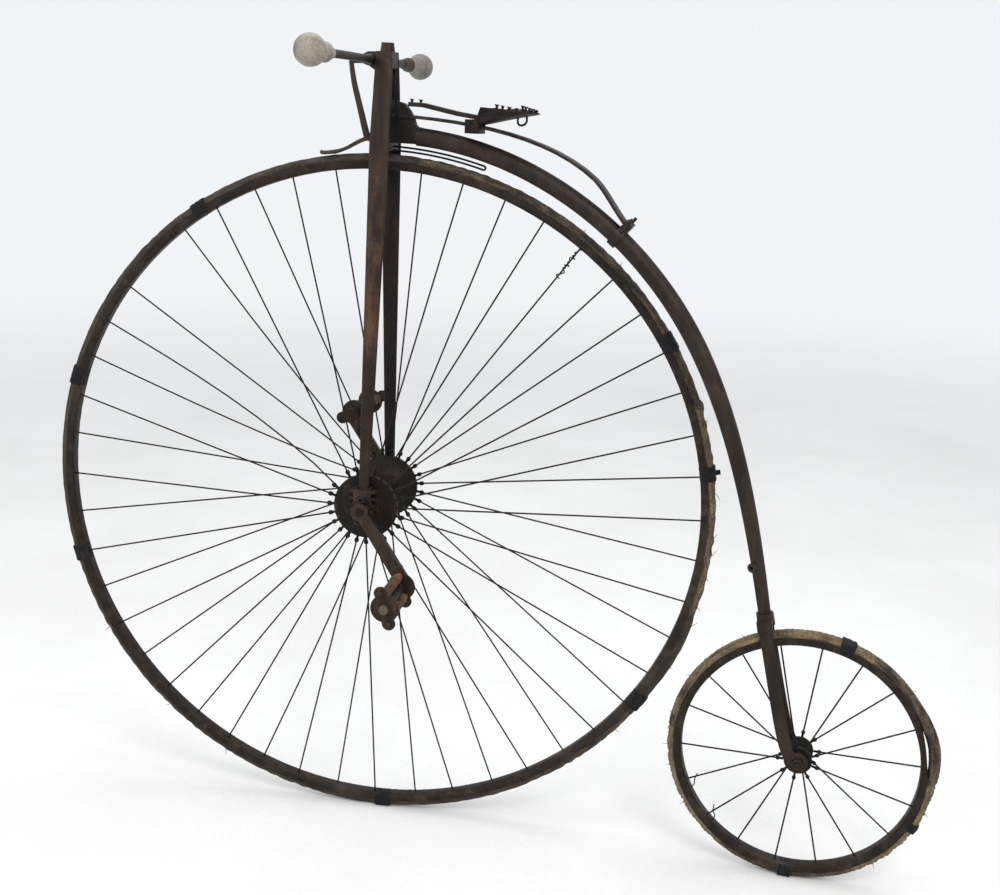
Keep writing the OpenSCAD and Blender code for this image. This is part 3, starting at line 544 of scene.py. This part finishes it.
def rimGrid(radius, drop):
    # the U section of the rim: rounded inner corners, lips, and a groove one tyre wide; drop lowers the lips
    depth, wide, corner, lip = machine["ringDepth"], 0.013, 0.006, 0.015
    centre, groove = depth - machine["tyreThickness"] / 2, machine["tyreThickness"] / 2 + 0.0001
    top = lip - drop[:, None]
    t = np.linspace(0, np.pi / 2, 7)[None]
    start = np.arccos((top - centre) / groove)
    turnRound = start + (2 * np.pi - 2 * start) * np.linspace(0, 1, 25)[None]
    cornerOut, cornerSide = corner - corner * np.sin(t), wide - corner + corner * np.cos(t)
    flat = 0 * top
    out = np.concatenate([top, cornerOut + flat, cornerOut[:, ::-1] + flat, top,
                          centre + groove * np.cos(turnRound)[:, ::-1]], 1)
    side = np.concatenate([wide + flat, cornerSide + flat, -cornerSide[:, ::-1] + flat, -wide + flat,
                           groove * np.sin(turnRound)[:, ::-1]], 1)
    angles = np.linspace(0, 360, len(drop), endpoint=False)[:, None]
    return polar(angles + 0 * out, radius - depth + out, side)


lipDrop = rearTyre["lipDrop"] * hump(np.linspace(0, 360, 360, endpoint=False), liftMiddle, liftHalf)
piece("rimRear", [grid(inRear(rimGrid(machine["rearRadius"], lipDrop)), True)], iron["rimIron"], "rear_wheel",
      ["rear_rim"])


def tapeBand(middle, half, radius, seed):
    # a rounded box round tyre and rim, a little puckered at its edges
    a = middle + half * np.linspace(-1, 1, 11)
    depth, width = machine["ringDepth"] / 2 + 0.0012, 0.0285
    path = polar(a, radius - machine["ringDepth"] / 2 + 0.0004, 0.0)
    pucker = 1 + 0.018 * np.cos(np.linspace(-1, 1, 11) * 9)
    pucker = pucker + 0.01 * np.random.default_rng(seed).standard_normal(11)
    return sweep(path, 2 * depth * pucker, width * pucker, around=36, power=3.2, lumps=0.006, seed=seed)


bands = [tapeBand(m, h, machine["frontRadius"], 40 + i) for i, (m, h) in enumerate(frontTyre["tape"])]
looseEnd = bend(polar(9.4, np.array([0.655, 0.664, 0.669]), np.array([0.0, 0.001, 0.003])), 6)
bands.append(sweep(looseEnd, 0.010, 0.005, around=12, power=3))
piece("tapeFront", [grid(inFork(band)) for band in bands], tape, "front_wheel")
bands = [tapeBand(m, h, machine["rearRadius"] + 0.0003, 60 + i) for i, (m, h) in enumerate(rearTyre["tape"])]
piece("tapeRear", [grid(inRear(band)) for band in bands], tape, "rear_wheel")
curls = strands(frontTyre["strands"], machine["frontRadius"], 31)
piece("strandsFront", [grid(inFork(curl), fields={"worn": 1.0}) for curl in curls], tyreRubber, "front_wheel")
curls = strands(rearTyre["strands"], machine["rearRadius"], 32)
piece("strandsRear", [grid(inRear(curl), fields={"worn": 1.0}) for curl in curls], rearRubber, "rear_wheel")
print("tyres made")

# spokes

frontSpokes = {
    "count": 48, "first": 1.2, "firstSide": -1, "hub": 0.058, "rim": 0.6335, "half": 0.073, "knob": 1.0,
    # how far each bent spoke bows along the wheel and sideways
    "bowed": {17: (0.006, -0.003), 20: (-0.016, 0.010), 21: (0.009, 0.004), 33: (0.004, 0.0)},
    "missing": [18],
}
rearSpokes = {"count": 18, "first": 2.7, "firstSide": 1, "hub": 0.022, "rim": 0.2215, "half": 0.0215,
              "knob": 0.85, "bowed": {}, "missing": []}
wireLook = {"spoke": 0.0032, "atRim": 0.004, "knobAt": 0.0150, "loose": 0.0022}


def spokeRun(angle, hubRadius, rimRadius, half, towards, bow=(0, 0), stations=3):
    # a straight line from flange to rim, with half a sine of lengthwise and sideways bow
    t = np.linspace(0, 1, stations)
    away = towards * (half + (wireLook["atRim"] - half) * t)
    path = polar(angle, hubRadius + (rimRadius - hubRadius) * t, away)
    along = np.array([-math.sin(math.radians(angle)), 0, math.cos(math.radians(angle))])
    return path + np.sin(np.pi * t ** 0.8)[:, None] * (bow[0] * along + np.array([0, bow[1], 0]))


def nutOn(path, at, size=1.0):
    # a round knob on the spoke with a thicker neck down to the flange
    direction = (path[-1] - path[0]) / np.linalg.norm(path[-1] - path[0])
    profile = np.array([(-0.0115, 0.0027), (-0.0045, 0.0026), (-0.0030, 0.0039), (0.0, 0.0045),
                        (0.0030, 0.0038), (0.0045, 0.0019)]) * size
    return revolve(profile, path[0] + direction * at, direction, 12)


def wheelSpokes(end, look, put):
    # a spoke and its knob at every place round the wheel, by turns on either flange
    sides, knobs, wheel = {-1: [], 1: []}, [], end.lower()
    for i in range(look["count"]):
        if i in look["missing"]:
            continue
        towards = look["firstSide"] * (1 if i % 2 == 0 else -1)
        angle = look["first"] + 360 / look["count"] * i
        bow, stations = look["bowed"].get(i, (0, 0)), 9 if i in look["bowed"] else 3
        run = spokeRun(angle, look["hub"], look["rim"], look["half"], towards, bow, stations)
        sides[towards].append(grid(put(sweep(run, wireLook["spoke"], around=8))))
        knobs.append(grid(put(nutOn(run, wireLook["knobAt"], look["knob"]))))
    for towards, side in ((-1, "Left"), (1, "Right")):
        piece("spokes" + end + side, sides[towards], iron["wireSteel"], wheel + "_wheel",
              [wheel + "_spokes_" + side.lower()])
    piece("spokeNuts" + end, knobs, iron["wireSteel"], wheel + "_wheel")


wheelSpokes("Front", frontSpokes, inFork)
wheelSpokes("Rear", rearSpokes, inRear)

# twisted wire that someone wound round one spoke, and loose ends on two rear spokes
t = np.linspace(0, 1, 160)
woundAt = frontSpokes["first"] + 52.5
slope = math.radians(woundAt)
turns = 41 * t + 2.4 * np.sin(17 * t)
slack = 0.0034 * (1 + 0.55 * np.sin(29 * t + 1)) + 0.007 * np.clip((t - 0.94) / 0.06, 0, 1) ** 2
coil = spokeRun(woundAt, 0.560, 0.630, 0.0095, 1, stations=160) \
    + slack[:, None] * (np.cos(turns)[:, None] * np.array([0, 1, 0])
                        + np.sin(turns)[:, None] * np.array([math.sin(slope), 0, -math.cos(slope)]))
ends = [polar(np.array([b, b + 2, b + 5, b + 6]), np.array([0.199, 0.206, 0.212, 0.220]),
              np.array([0.004, -0.003, 0.002, 0.0])) for b in (-139, -159)]
piece("windWire", [grid(inFork(sweep(coil, wireLook["loose"], around=6)))], iron["wireSteel"], "front_wheel")
piece("wireEnds", [grid(inRear(sweep(bend(e, 14), wireLook["loose"], around=8))) for e in ends],
      iron["wireSteel"], "rear_wheel")
print("spokes made")

# fork blades, backbone and rear fork

forkLook = {"foot": 0.029, "crown": 0.680, "top": 0.831, "summit": 0.843, "spreadHub": 0.092,
            "spreadCrown": 0.0395, "spreadHead": 0.0195, "widthHub": 0.019, "widthCrown": 0.038,
            "headTaper": 0.006, "thickHub": 0.009, "thickening": 0.003}


def bladeGrid(side):
    # half spacing falls evenly from the hub to the crown and faster to the head; the blade widens to the crown
    h = np.concatenate([np.linspace(forkLook["foot"], forkLook["crown"], 60),
                        np.linspace(forkLook["crown"] + 0.004, forkLook["top"], 18)])
    up = np.clip((h - forkLook["crown"]) / (forkLook["summit"] - forkLook["crown"]), 0, 1)
    low = np.clip(h / forkLook["crown"], 0, 1)
    spread = np.where(up > 0, forkLook["spreadCrown"] + (forkLook["spreadHead"] - forkLook["spreadCrown"]) * up,
                      forkLook["spreadHub"] + (forkLook["spreadCrown"] - forkLook["spreadHub"]) * low)
    width = np.where(up > 0, forkLook["widthCrown"] - forkLook["headTaper"] * up,
                     forkLook["widthHub"] + (forkLook["widthCrown"] - forkLook["widthHub"]) * low)
    path = np.stack([0 * h, side * spread, h], 1)
    thick = forkLook["thickHub"] + forkLook["thickening"] * low
    return inFork(sweep(path, width, thick, around=40, power=2.25, lumps=0.004, seed=5))


# the far blade takes the darkened iron: painted shade
piece("bladeLeft", [grid(bladeGrid(-1))], iron["bladeIron"], "fork", ["fork_blade_left"])
piece("bladeRight", [grid(bladeGrid(1))], iron["farIron"], "fork", ["fork_blade_right"])


def cubic(c, t):
    t = np.asarray(t, float)[:, None]
    c = np.asarray(c, float)
    return c[0] * (1 - t) ** 3 + 3 * c[1] * t * (1 - t) ** 2 + 3 * c[2] * t * t * (1 - t) + c[3] * t ** 3


spine = {"radius": 0.700, "start": 84, "dip": 0.003, "dipFrom": 64, "end": 29, "tail": (0.766, 0, 0.506),
         "tailTurn": -79, "thickFront": 0.0334, "thickTail": 0.023}


def backbonePath():
    # a ring about the front wheel that dips a little towards the head, then a cubic into the rear fork's socket
    a = np.linspace(spine["start"], spine["end"], 90)[:-1]
    dipping = np.clip((a - spine["dipFrom"]) / (spine["start"] - spine["dipFrom"]), 0, 1) ** 2
    ring = polar(a, spine["radius"] - spine["dip"] * dipping, 0.0) + (0, 0, machine["frontRadius"])
    e, d = math.radians(spine["end"]), math.radians(spine["tailTurn"])
    leave = polar(spine["end"], spine["radius"], 0.0) + (0, 0, machine["frontRadius"])
    tail = np.array(spine["tail"])
    reach = np.linalg.norm(tail - leave) / 3
    t = np.linspace(0, 1, 90)
    rest = cubic([leave, leave + np.array([math.sin(e), 0, -math.cos(e)]) * reach,
                  tail - np.array([math.cos(d), 0, math.sin(d)]) * reach, tail], t)
    thick = spine["thickFront"] + (spine["thickTail"] - spine["thickFront"]) * t ** 1.15
    return np.concatenate([ring, rest]), np.concatenate([np.full(89, spine["thickFront"]), thick])


path, thick = backbonePath()
piece("spineTube", [grid(inFrame(sweep(path, thick, around=48, lumps=0.003, seed=9)))], iron["frameIron"],
      "frame", ["backbone"])

rearFork = {"curve": [(-0.079, 0, 0.250), (-0.042, 0, 0.098), (-0.027, 0, -0.006), (0, 0, 0)],
            "width": 0.024, "thick": 0.0065, "crown": 0.0205, "eye": 0.0315}


def rearBladeGrid(side):
    t = np.linspace(0, 1, 46)
    path = cubic(rearFork["curve"], t)
    path[:, 1] = side * (rearFork["crown"] + (rearFork["eye"] - rearFork["crown"]) * np.minimum(1, 1.5 * t))
    return inRear(sweep(path, rearFork["width"], rearFork["thick"], around=32, power=2.4, lumps=0.004, seed=11))


for side, name in ((-1, "left"), (1, "right")):
    eye = revolve([(-0.00325, 0.0175), (-0.0026, 0.019), (0.0026, 0.019), (0.00325, 0.0175)],
                  inRear((0, side * rearFork["eye"], 0)), (0, 1, 0), 40)
    piece("rearBlade_" + name, [grid(rearBladeGrid(side)), grid(eye)], iron["frameIron"], "frame",
          ["rear_fork_" + name])
print("frame tubes made")

# grips

gripLook = {"ball": 0.0264, "middle": 0.345, "lead": -0.0275, "height": 0.828}


def gripGrid(side, neck, seed):
    # half a circle for the ball, then the turned neck down to the bar
    a = np.radians(np.linspace(2, 118, 26))
    ball = np.stack([gripLook["ball"] * np.cos(a), gripLook["ball"] * np.sin(a)], 1)
    origin = np.array([gripLook["lead"], side * gripLook["middle"], gripLook["height"]])
    return inFork(revolve(np.concatenate([ball, neck]), origin, (0, side, 0), 56, 0.006, seed))


# profiles along the bar, as distance from the ball's centre and radius
nearNeck = [(-0.020, 0.0222), (-0.028, 0.0204), (-0.043, 0.0178), (-0.054, 0.0158), (-0.060, 0.0151),
            (-0.0625, 0.0150), (-0.0638, 0.0163), (-0.0655, 0.0169), (-0.0695, 0.0169), (-0.0712, 0.0163),
            (-0.0725, 0.0139), (-0.078, 0.0130), (-0.086, 0.0117), (-0.094, 0.0110), (-0.0995, 0.0103),
            (-0.1005, 0.0088)]
farNeck = [(-0.020, 0.0222), (-0.030, 0.0204), (-0.046, 0.0180), (-0.060, 0.0160), (-0.076, 0.0148),
           (-0.088, 0.0144), (-0.0945, 0.0142), (-0.0952, 0.0120)]
cup = [(-0.0940, 0.0128), (-0.0950, 0.0141), (-0.101, 0.0142), (-0.108, 0.0128), (-0.118, 0.0112),
       (-0.132, 0.0096), (-0.144, 0.0088), (-0.148, 0.0078)]
# the bar swells towards the head
reach = np.linspace(-0.3175, 0.3175, 129)
barProfile = np.stack([reach, 0.0073 + 0.0045 * np.clip(1 - np.abs(reach) / 0.075, 0, 1) ** 2.2], 1)
barMiddle = (gripLook["lead"], 0, gripLook["height"])
piece("barTube", [grid(inFork(revolve(barProfile, barMiddle, (0, 1, 0), 28, 0.006, 24)))], iron["barSteel"],
      "fork", ["handlebar"])
piece("gripNear", [grid(gripGrid(-1, nearNeck, 21))], boneNear, "fork", ["grip_left"])
# the far grip's darker bone is painted shade
piece("gripFar", [grid(gripGrid(1, farNeck, 22))], boneFar, "fork", ["grip_right"])
cupMiddle = (gripLook["lead"], gripLook["middle"], gripLook["height"])
piece("gripCup", [grid(inFork(revolve(cup, cupMiddle, (0, 1, 0), 40, 0.02, 23)))], iron["pedalSteel"], "fork")
print("grips made")

# brake

brakeLook = {
    "curl": 0.0175,
    # places along the fork and up it, from the top of the arm down, then along the leaf out to its tip
    "arm": [(-0.0685, 0.824), (-0.0650, 0.802), (-0.0605, 0.780), (-0.0495, 0.740), (-0.0400, 0.705),
            (-0.0350, 0.688)],
    "leaf": [(-0.0150, 0.6760), (-0.0240, 0.6830), (-0.0340, 0.6860), (-0.0460, 0.6825), (-0.0600, 0.6755),
             (-0.0740, 0.6680), (-0.0880, 0.6630), (-0.1000, 0.6604), (-0.1110, 0.6586), (-0.1185, 0.6582),
             (-0.1230, 0.6592)],
}


def spoonGrid():
    # one leaf from the crown to its tip: a line of places, a width at each, curled like the tyre under it
    line = np.array(brakeLook["leaf"])
    path = bend(np.stack([line[:, 0], 0 * line[:, 0], line[:, 1]], 1), 60)
    t = np.linspace(0, 1, 60)
    half = np.interp(t, [0, 0.3, 0.5, 0.7, 0.92, 1], [0.0050, 0.0055, 0.0085, 0.0125, 0.0115, 0.0070])
    thick = np.interp(t, [0, 0.3, 0.55, 1], [0.0075, 0.0065, 0.0030, 0.0020])
    along = np.gradient(path, axis=0)
    along /= np.linalg.norm(along, axis=1)[:, None]
    up = np.cross(along, (0, 1.0, 0))
    up *= np.sign(up[:, 2:3])
    across = half[:, None] * np.linspace(-1, 1, 15)[None]
    drop = brakeLook["curl"] - np.sqrt(brakeLook["curl"] ** 2 - across ** 2)
    side = across[..., None] * np.array([0, 1.0, 0])
    sheet = path[:, None] + side - drop[..., None] * up[:, None]
    body = thick[:, None, None] * up[:, None]
    return np.concatenate([sheet + body / 2, (sheet - body / 2)[:, ::-1]], 1)


arm = np.array(brakeLook["arm"])
armPath = bend(np.stack([arm[:, 0], 0 * arm[:, 0], arm[:, 1]], 1), 40)
link = np.linspace((-0.0700, 0, 0.8235), (-0.0430, 0, 0.8250), 8)
armBar = sweep(armPath, np.linspace(0.0085, 0.0135, 40), 0.006, around=20, power=3.0)
linkBar = sweep(link, 0.008, 0.009, around=20, power=3.0)
piece("brakeArm", [grid(inFork(armBar)), grid(inFork(linkBar))], iron["barSteel"], "fork", ["brake_arm"])
piece("brakeSpoon", [grid(inFork(spoonGrid()))], iron["crankSteel"], "fork", ["brake_spoon"],
      sharp=50)
print("brake made")

# saddle frame

saddleLook = {"level": 1.389, "halfWidth": 0.088, "thick": 0.003, "hornHeight": 0.018,
              "front": 0.192, "frontSweep": 0.026, "depth": 0.108, "depthLost": 0.080}


def cantleGrid():
    # a dished plate: its edge rises with the 2.2th power of the distance from the middle line
    v = np.linspace(-1, 1, 61)[:, None]
    s = np.linspace(0, 1, 15)[None]

    def sheet(lift):
        # the plate gets shorter towards its horns, and its front edge sweeps back
        middle = saddleLook["level"] - 0.0105 + 0.0215 * s
        x = saddleLook["front"] + saddleLook["frontSweep"] * v * v
        x = x + s * (saddleLook["depth"] - saddleLook["depthLost"] * v * v)
        z = middle + (saddleLook["level"] + saddleLook["hornHeight"] - middle) * np.abs(v) ** 2.2 + lift
        z = z + 0.0006 * ripple(v * 3, s * 3, 10, 1, 5, 14)
        return np.stack(np.broadcast_arrays(x, v * saddleLook["halfWidth"], z), -1)

    return np.concatenate([sheet(0.0), sheet(saddleLook["thick"])[:, ::-1]], 1)


piece("cantlePlate", [grid(inFrame(cantleGrid()))], iron["saddleIron"], "frame", ["saddle_cantle"])


def torn(at, axis, height, seed):
    # the stub of a rivet whose head has burst open: a stem that flares into five points
    profile = [(0, 0.0026), (height * 0.45, 0.0022), (height * 0.8, 0.0034), (height, 0.0056)]
    flare = revolve(profile, at, axis, 10)
    flare[3:, ::2] -= 0.55 * (flare[3:, ::2] - flare[3:].mean(1)[:, None])
    flare[2:] += 0.0006 * np.random.default_rng(seed).standard_normal(flare[2:].shape) * np.array([1, 1, 0.3])
    return grid(flare)


# along the plate's edge, as places across it from -1 to 1, then two on the nose strip
edge = np.array([-0.97, -0.88, -0.76, -0.62, -0.45, -0.2, 0.2, 0.45, 0.62, 0.76, 0.88, 0.97])
spotX = saddleLook["front"] + saddleLook["frontSweep"] * edge ** 2 \
    + 0.93 * (saddleLook["depth"] - saddleLook["depthLost"] * edge ** 2)
spotZ = saddleLook["level"] + 0.0095 + 0.0085 * np.abs(edge) ** 2.2 + saddleLook["thick"]
rivets = [torn(inFrame((x, y, z)), (0.1, 0, 1), 0.0062, 80 + i)
          for i, (x, y, z) in enumerate(zip(spotX, edge * saddleLook["halfWidth"], spotZ))]
rivets += [torn(inFrame(at), (0.1, 0, 1), 0.0055, 99) for at in ((0.060, 0, 1.4150), (0.076, 0.004, 1.4145))]
piece("saddleRivets", rivets, iron["saddleIron"], "frame")
loop = bend([(0.2630, 0, 1.398), (0.2620, 0, 1.387), (0.2655, 0, 1.3812), (0.2735, 0, 1.3818),
             (0.2785, 0, 1.388), (0.2785, 0, 1.398)], 40)
piece("strapLoop", [grid(inFrame(sweep(loop, 0.0040, around=12)))], iron["saddleIron"], "frame",
      ["saddle_loop"])
print("saddle made")

# pedals, bearings, small hardware

pedalLook = {
    "crank": 0.1565, "angle": 53.6,                # the crank's length, and its angle below the level line
    "inner": 0.1435, "gap": 0.112,                 # the inner plate's place, and the plates' distance apart
    "disc": 0.0262, "lobeAt": 0.0288, "lobeRadius": 0.0125,
    "rubber": 0.0085, "rubberAt": 0.020, "sleeve": 0.0081, "nutAt": 0.029, "past": 0.004,
    "turn": {-1: -16, 1: 63},
}


def pedalFrame(side):
    # the pedal's middle in the wheel's frame, and the direction of its lobes
    a = math.radians(pedalLook["angle"])
    middle = np.array([-side * pedalLook["crank"] * math.cos(a), 0, side * pedalLook["crank"] * math.sin(a)])
    t = math.radians(pedalLook["turn"][side])
    return middle, np.array([math.sin(t), 0, math.cos(t)])


def pedalPlate(origin, outwards, lobe):
    # outline: a round middle and two smaller round lobes, run together by a smooth maximum; eased edges
    a = np.linspace(0, 2 * np.pi, 96, endpoint=False)
    inside = pedalLook["lobeRadius"] ** 2 - (pedalLook["lobeAt"] * np.sin(a)) ** 2
    lobes = np.where(inside > 0, pedalLook["lobeAt"] * np.abs(np.cos(a)) + np.sqrt(np.maximum(inside, 0)), 0)
    outline = (pedalLook["disc"] ** 16 + lobes ** 16) ** (1 / 16)
    cross = np.cross(outwards, lobe)
    profile = np.array([(0.0, -0.0012), (0.0008, 0.0), (0.0032, 0.0), (0.0040, -0.0012)])
    r = outline[None] + profile[:, 1:]
    return origin + profile[:, None, :1] * outwards + (r * np.cos(a))[..., None] * lobe \
        + (r * np.sin(a))[..., None] * cross


for side, name in ((-1, "left"), (1, "right")):
    middle, lobe = pedalFrame(side)
    body, outwards, end = "pedal_" + name, np.array([0, side * 1.0, 0]), pedalLook["inner"] + pedalLook["gap"]
    plates = [grid(inFork(pedalPlate(middle + outwards * (pedalLook["inner"] + y), outwards, lobe)))
              for y in (0, pedalLook["gap"])]
    radius = pedalLook["sleeve"]
    sleeve = revolve([(pedalLook["inner"], radius), (end + pedalLook["past"], radius)], middle, outwards, 24)
    plates.append(grid(inFork(sleeve)))
    piece("pedalPlates_" + name, plates, iron["pedalSteel"], body, [body])
    rubbers = []
    for s in (-1, 1):
        v = side * np.linspace(pedalLook["inner"] + 0.0042, end - 0.0002, 30)
        path = (middle + lobe * s * pedalLook["rubberAt"])[None] + v[:, None] * np.array([0, 1, 0])
        fat = 2 * pedalLook["rubber"] * (1 - 0.10 * np.abs(np.linspace(-1, 1, 30)) ** 6)
        roll = sweep(path, fat, side=(0, 0, 1), around=28, power=2.5, lumps=0.018, seed=70 + s + side)
        handled = 1.25 - 0.95 * np.linspace(0, 1, 30)[:, None] if side < 0 else 0.2    # most at the inner end
        rubbers.append(grid(inFork(roll), fields={"worn": handled, "run": v[:, None], "over": 0.0}))
    piece("pedalRubbers_" + name, rubbers, pedalRubber, body, ["pedal_rubbers_" + name])
    nuts = []
    for s in (-1, 1):
        at = middle + lobe * s * pedalLook["nutAt"] + outwards * (end + pedalLook["past"])
        nuts.append(bolt(inFork(at), steered @ outwards, 0.010, 0.005))
    piece("pedalNuts_" + name, nuts, iron["crankSteel"], body)

# the lump on the near crank: a worn stud end, ahead of the pedal, on the outer face
slant = math.radians(pedalLook["angle"])
bossLook = {"reach": 0.128, "face": -0.1175,
            "profile": [(-0.004, 0.0115), (0.0035, 0.0112), (0.0055, 0.0092), (0.0062, 0.0050)]}
bossAt = inFork((bossLook["reach"] * math.cos(slant), bossLook["face"], -bossLook["reach"] * math.sin(slant)))
boss = revolve(bossLook["profile"], bossAt, steered @ np.array([0, -1.0, 0]), 30, 0.03, 44)
piece("crankBoss", [grid(boss)], iron["bossRust"], "front_wheel")

# two bolts lie across each crank's head and clamp it on the axle
clampLook = {"out": 0.1105, "apart": 0.0125, "reach": 0.0185, "thick": 0.0075, "headAt": 0.0165, "head": 0.0115}
clampBolts = []
for side in (-1, 1):
    a = math.radians(pedalLook["angle"]) + (math.pi if side > 0 else 0)
    along, across = np.array([math.cos(a), 0, -math.sin(a)]), np.array([math.sin(a), 0, math.cos(a)])
    for shift in (-clampLook["apart"], clampLook["apart"]):
        middle = along * shift + np.array([0, side * clampLook["out"], 0])
        ends = [inFork(middle + across * s * clampLook["reach"]) for s in (-1, 1)]
        shank = np.linspace(ends[0], ends[1], 5)
        clampBolts.append(grid(sweep(shank, clampLook["thick"], side=(0, 1, 0), around=12)))
        for s in (-1, 1):
            at = inFork(middle + across * s * clampLook["headAt"])
            clampBolts.append(bolt(at, steered @ (across * s), clampLook["head"], 0.005))
piece("crankClampBolts", clampBolts, iron["hubIron"], "front_wheel")

# flat clamps hold each split bearing and show as level bands across it
bandLook = {"out": 0.0925, "half": 0.0255, "thick": 0.0050, "wide": 0.0195,
            "heights": (0.0350, 0.0225, 0.0090, -0.0090)}
bands = []
for side in (-1, 1):
    for h in bandLook["heights"]:
        ends = [(s * bandLook["half"], side * bandLook["out"], h) for s in (-1, 1)]
        strip = np.linspace(ends[0], ends[1], 9)
        bands.append(grid(inFork(sweep(strip, bandLook["thick"], bandLook["wide"], around=20, power=4.0))))
piece("bearingBands", bands, iron["barSteel"], "fork")

bearingBolts = []
for side in (-1, 1):
    for u in (-0.0135, 0.0135):
        for v in (0.0865, 0.0975):
            up, across = steered @ np.array([0, 0, 1.0]), steered @ np.array([math.copysign(1, u), 0, 0.0])
            bearingBolts.append(bolt(inFork((u, side * v, 0.0385)), up, 0.0075, 0.005))
            bearingBolts.append(bolt(inFork((u, side * v, 0.021)), across, 0.007, 0.006))
piece("bearingBolts", bearingBolts, iron["hubIron"], "fork")
print("hardware made")

# what stays as it was designed

carried = {
    # the neck and the right hub bearing take the far iron, darkened all over as painted shade
    "neck": "farIron", "step_boss": "frameIron", "rear_fork_crown": "frameIron", "rear_axle": "frameIron",
    "rear_axle_nuts": "frameIron", "saddle_spring": "springSteel", "spring_clamp": "springSteel",
    "saddle_clip": "saddleIron", "saddle_nose": "springSteel", "fork_crown": "frameIron",
    "head_top": "bladeIron", "head_cap": "bladeIron",
    "brake_spring": "wireSteel", "hub_bearing_left": "bladeIron", "hub_bearing_right": "farIron",
    "front_rim": "rimIron", "front_hub": "hubIron", "front_axle": "hubIron", "crank_left": "crankSteel",
    # the near pin takes the paler iron, partly painted highlight
    "crank_right": "pedalSteel", "pedal_pin_left": "pinSteel", "pedal_pin_right": "pedalSteel",
    "rear_hub": "hubIron",
}
fineEdged = {"front_rim", "brake_spring", "front_axle", "rear_axle"}
for node, look in carried.items():
    carry(node, iron[look], 0.0003 if node in fineEdged else 0.0009)    # the bevel's width
print("carried pieces eased")

# camera, floor and light

view = {"place": (0.89448, -2.28697, 1.40337), "yaw": 14.067, "pitch": -11.954, "roll": 2.139, "lens": 46.597,
        "shift": (-0.040, -0.060)}


def cameraMatrix():
    yaw, pitch, roll = (math.radians(view[key]) for key in ("yaw", "pitch", "roll"))
    ahead = np.array([-math.sin(yaw) * math.cos(pitch), math.cos(yaw) * math.cos(pitch), math.sin(pitch)])
    level = np.array([math.cos(yaw), math.sin(yaw), 0])
    up = np.cross(level, ahead)
    right = math.cos(roll) * level + math.sin(roll) * up
    top = -math.sin(roll) * level + math.cos(roll) * up
    matrix = np.eye(4)
    matrix[:3, 0], matrix[:3, 1], matrix[:3, 2], matrix[:3, 3] = right, top, -ahead, inFrame(view["place"])
    return Matrix(matrix.tolist())


lens = bpy.data.cameras.new("camera")
lens.sensor_width, lens.lens = 36, view["lens"]
lens.shift_x, lens.shift_y = view["shift"]
camera = bpy.data.objects.new("camera", lens)
bpy.context.scene.collection.objects.link(camera)
camera.matrix_world = cameraMatrix()
bpy.context.scene.camera = camera


room = {"colour": (0.95, 0.97, 1.0), "strength": 0.93, "floorReach": 30.0, "fadeStart": 2.6, "fadeEnd": 8.0}


def floorMaterial():
    # colour: pale warm grey with faint cloudy and fine variation; with distance from the middle it gives way
    # to the room's own light, so that no edge shows; relief: very fine grain
    k = Kit("paleFloor", Specular_IOR_Level=0.0, Emission_Strength=1.0)
    cloud, fine = k.noise(1.6, 5, 0.6), k.noise(90, 4, 0.6)
    ground = k.mix((cloud * 0.7 + fine * 0.3).ramp(0.3, 0.7), (0.66, 0.655, 0.64), (0.73, 0.725, 0.715))
    away = k.add("ShaderNodeVectorMath", {"operation": "LENGTH"}, {0: k.here}, "Value")
    fade = away.ramp(room["fadeStart"], room["fadeEnd"])
    glow = tuple(c * room["strength"] for c in room["colour"])
    black = (0.0, 0.0, 0.0)
    return k.done(Base_Color=k.mix(fade, ground, black), Emission_Color=k.mix(fade, black, glow),
                  Roughness=0.8 + fine * 0.1, Normal=k.bump(fine, 0.0006, 0.3))


def studio():
    # one wide round sheet under the wheels, open on all sides
    a = np.linspace(0, 2 * np.pi, 96, endpoint=False)
    base = np.full(len(a), -seat[2] - 0.0005)
    mesh = bpy.data.meshes.new("studioFloor")
    rim = np.stack([room["floorReach"] * np.cos(a), room["floorReach"] * np.sin(a), base], 1)
    mesh.from_pydata(rim.tolist(), [], [list(range(len(a)))])
    mesh.materials.append(floorMaterial())
    obj = bpy.data.objects.new("studioFloor", mesh)
    bpy.context.scene.collection.objects.link(obj)
    return obj


studio()

# place, width in metres, power
lamps = {"key": ((1.9, -2.9, 2.6), 2.0, 100), "fill": ((-2.8, -2.2, 1.2), 2.4, 45),
         "top": ((0.2, 0.4, 2.9), 2.8, 60)}
aim = Vector((0.05, 0, -0.6))
for name, (spot, size, power) in lamps.items():
    light = bpy.data.lights.new(name, "AREA")
    light.shape, light.size, light.energy = "DISK", size, power
    lamp = bpy.data.objects.new(name, light)
    bpy.context.scene.collection.objects.link(lamp)
    lamp.location = spot
    lamp.rotation_euler = (aim - Vector(spot)).to_track_quat("-Z", "Y").to_euler()

world = bpy.data.worlds.new("softRoom")
world.use_nodes = True
light = world.node_tree.nodes["Background"].inputs
light["Color"].default_value, light["Strength"].default_value = room["colour"] + (1.0,), room["strength"]
bpy.context.scene.world = world
bpy.context.scene.view_settings.view_transform = "Standard"
print("studio ready")
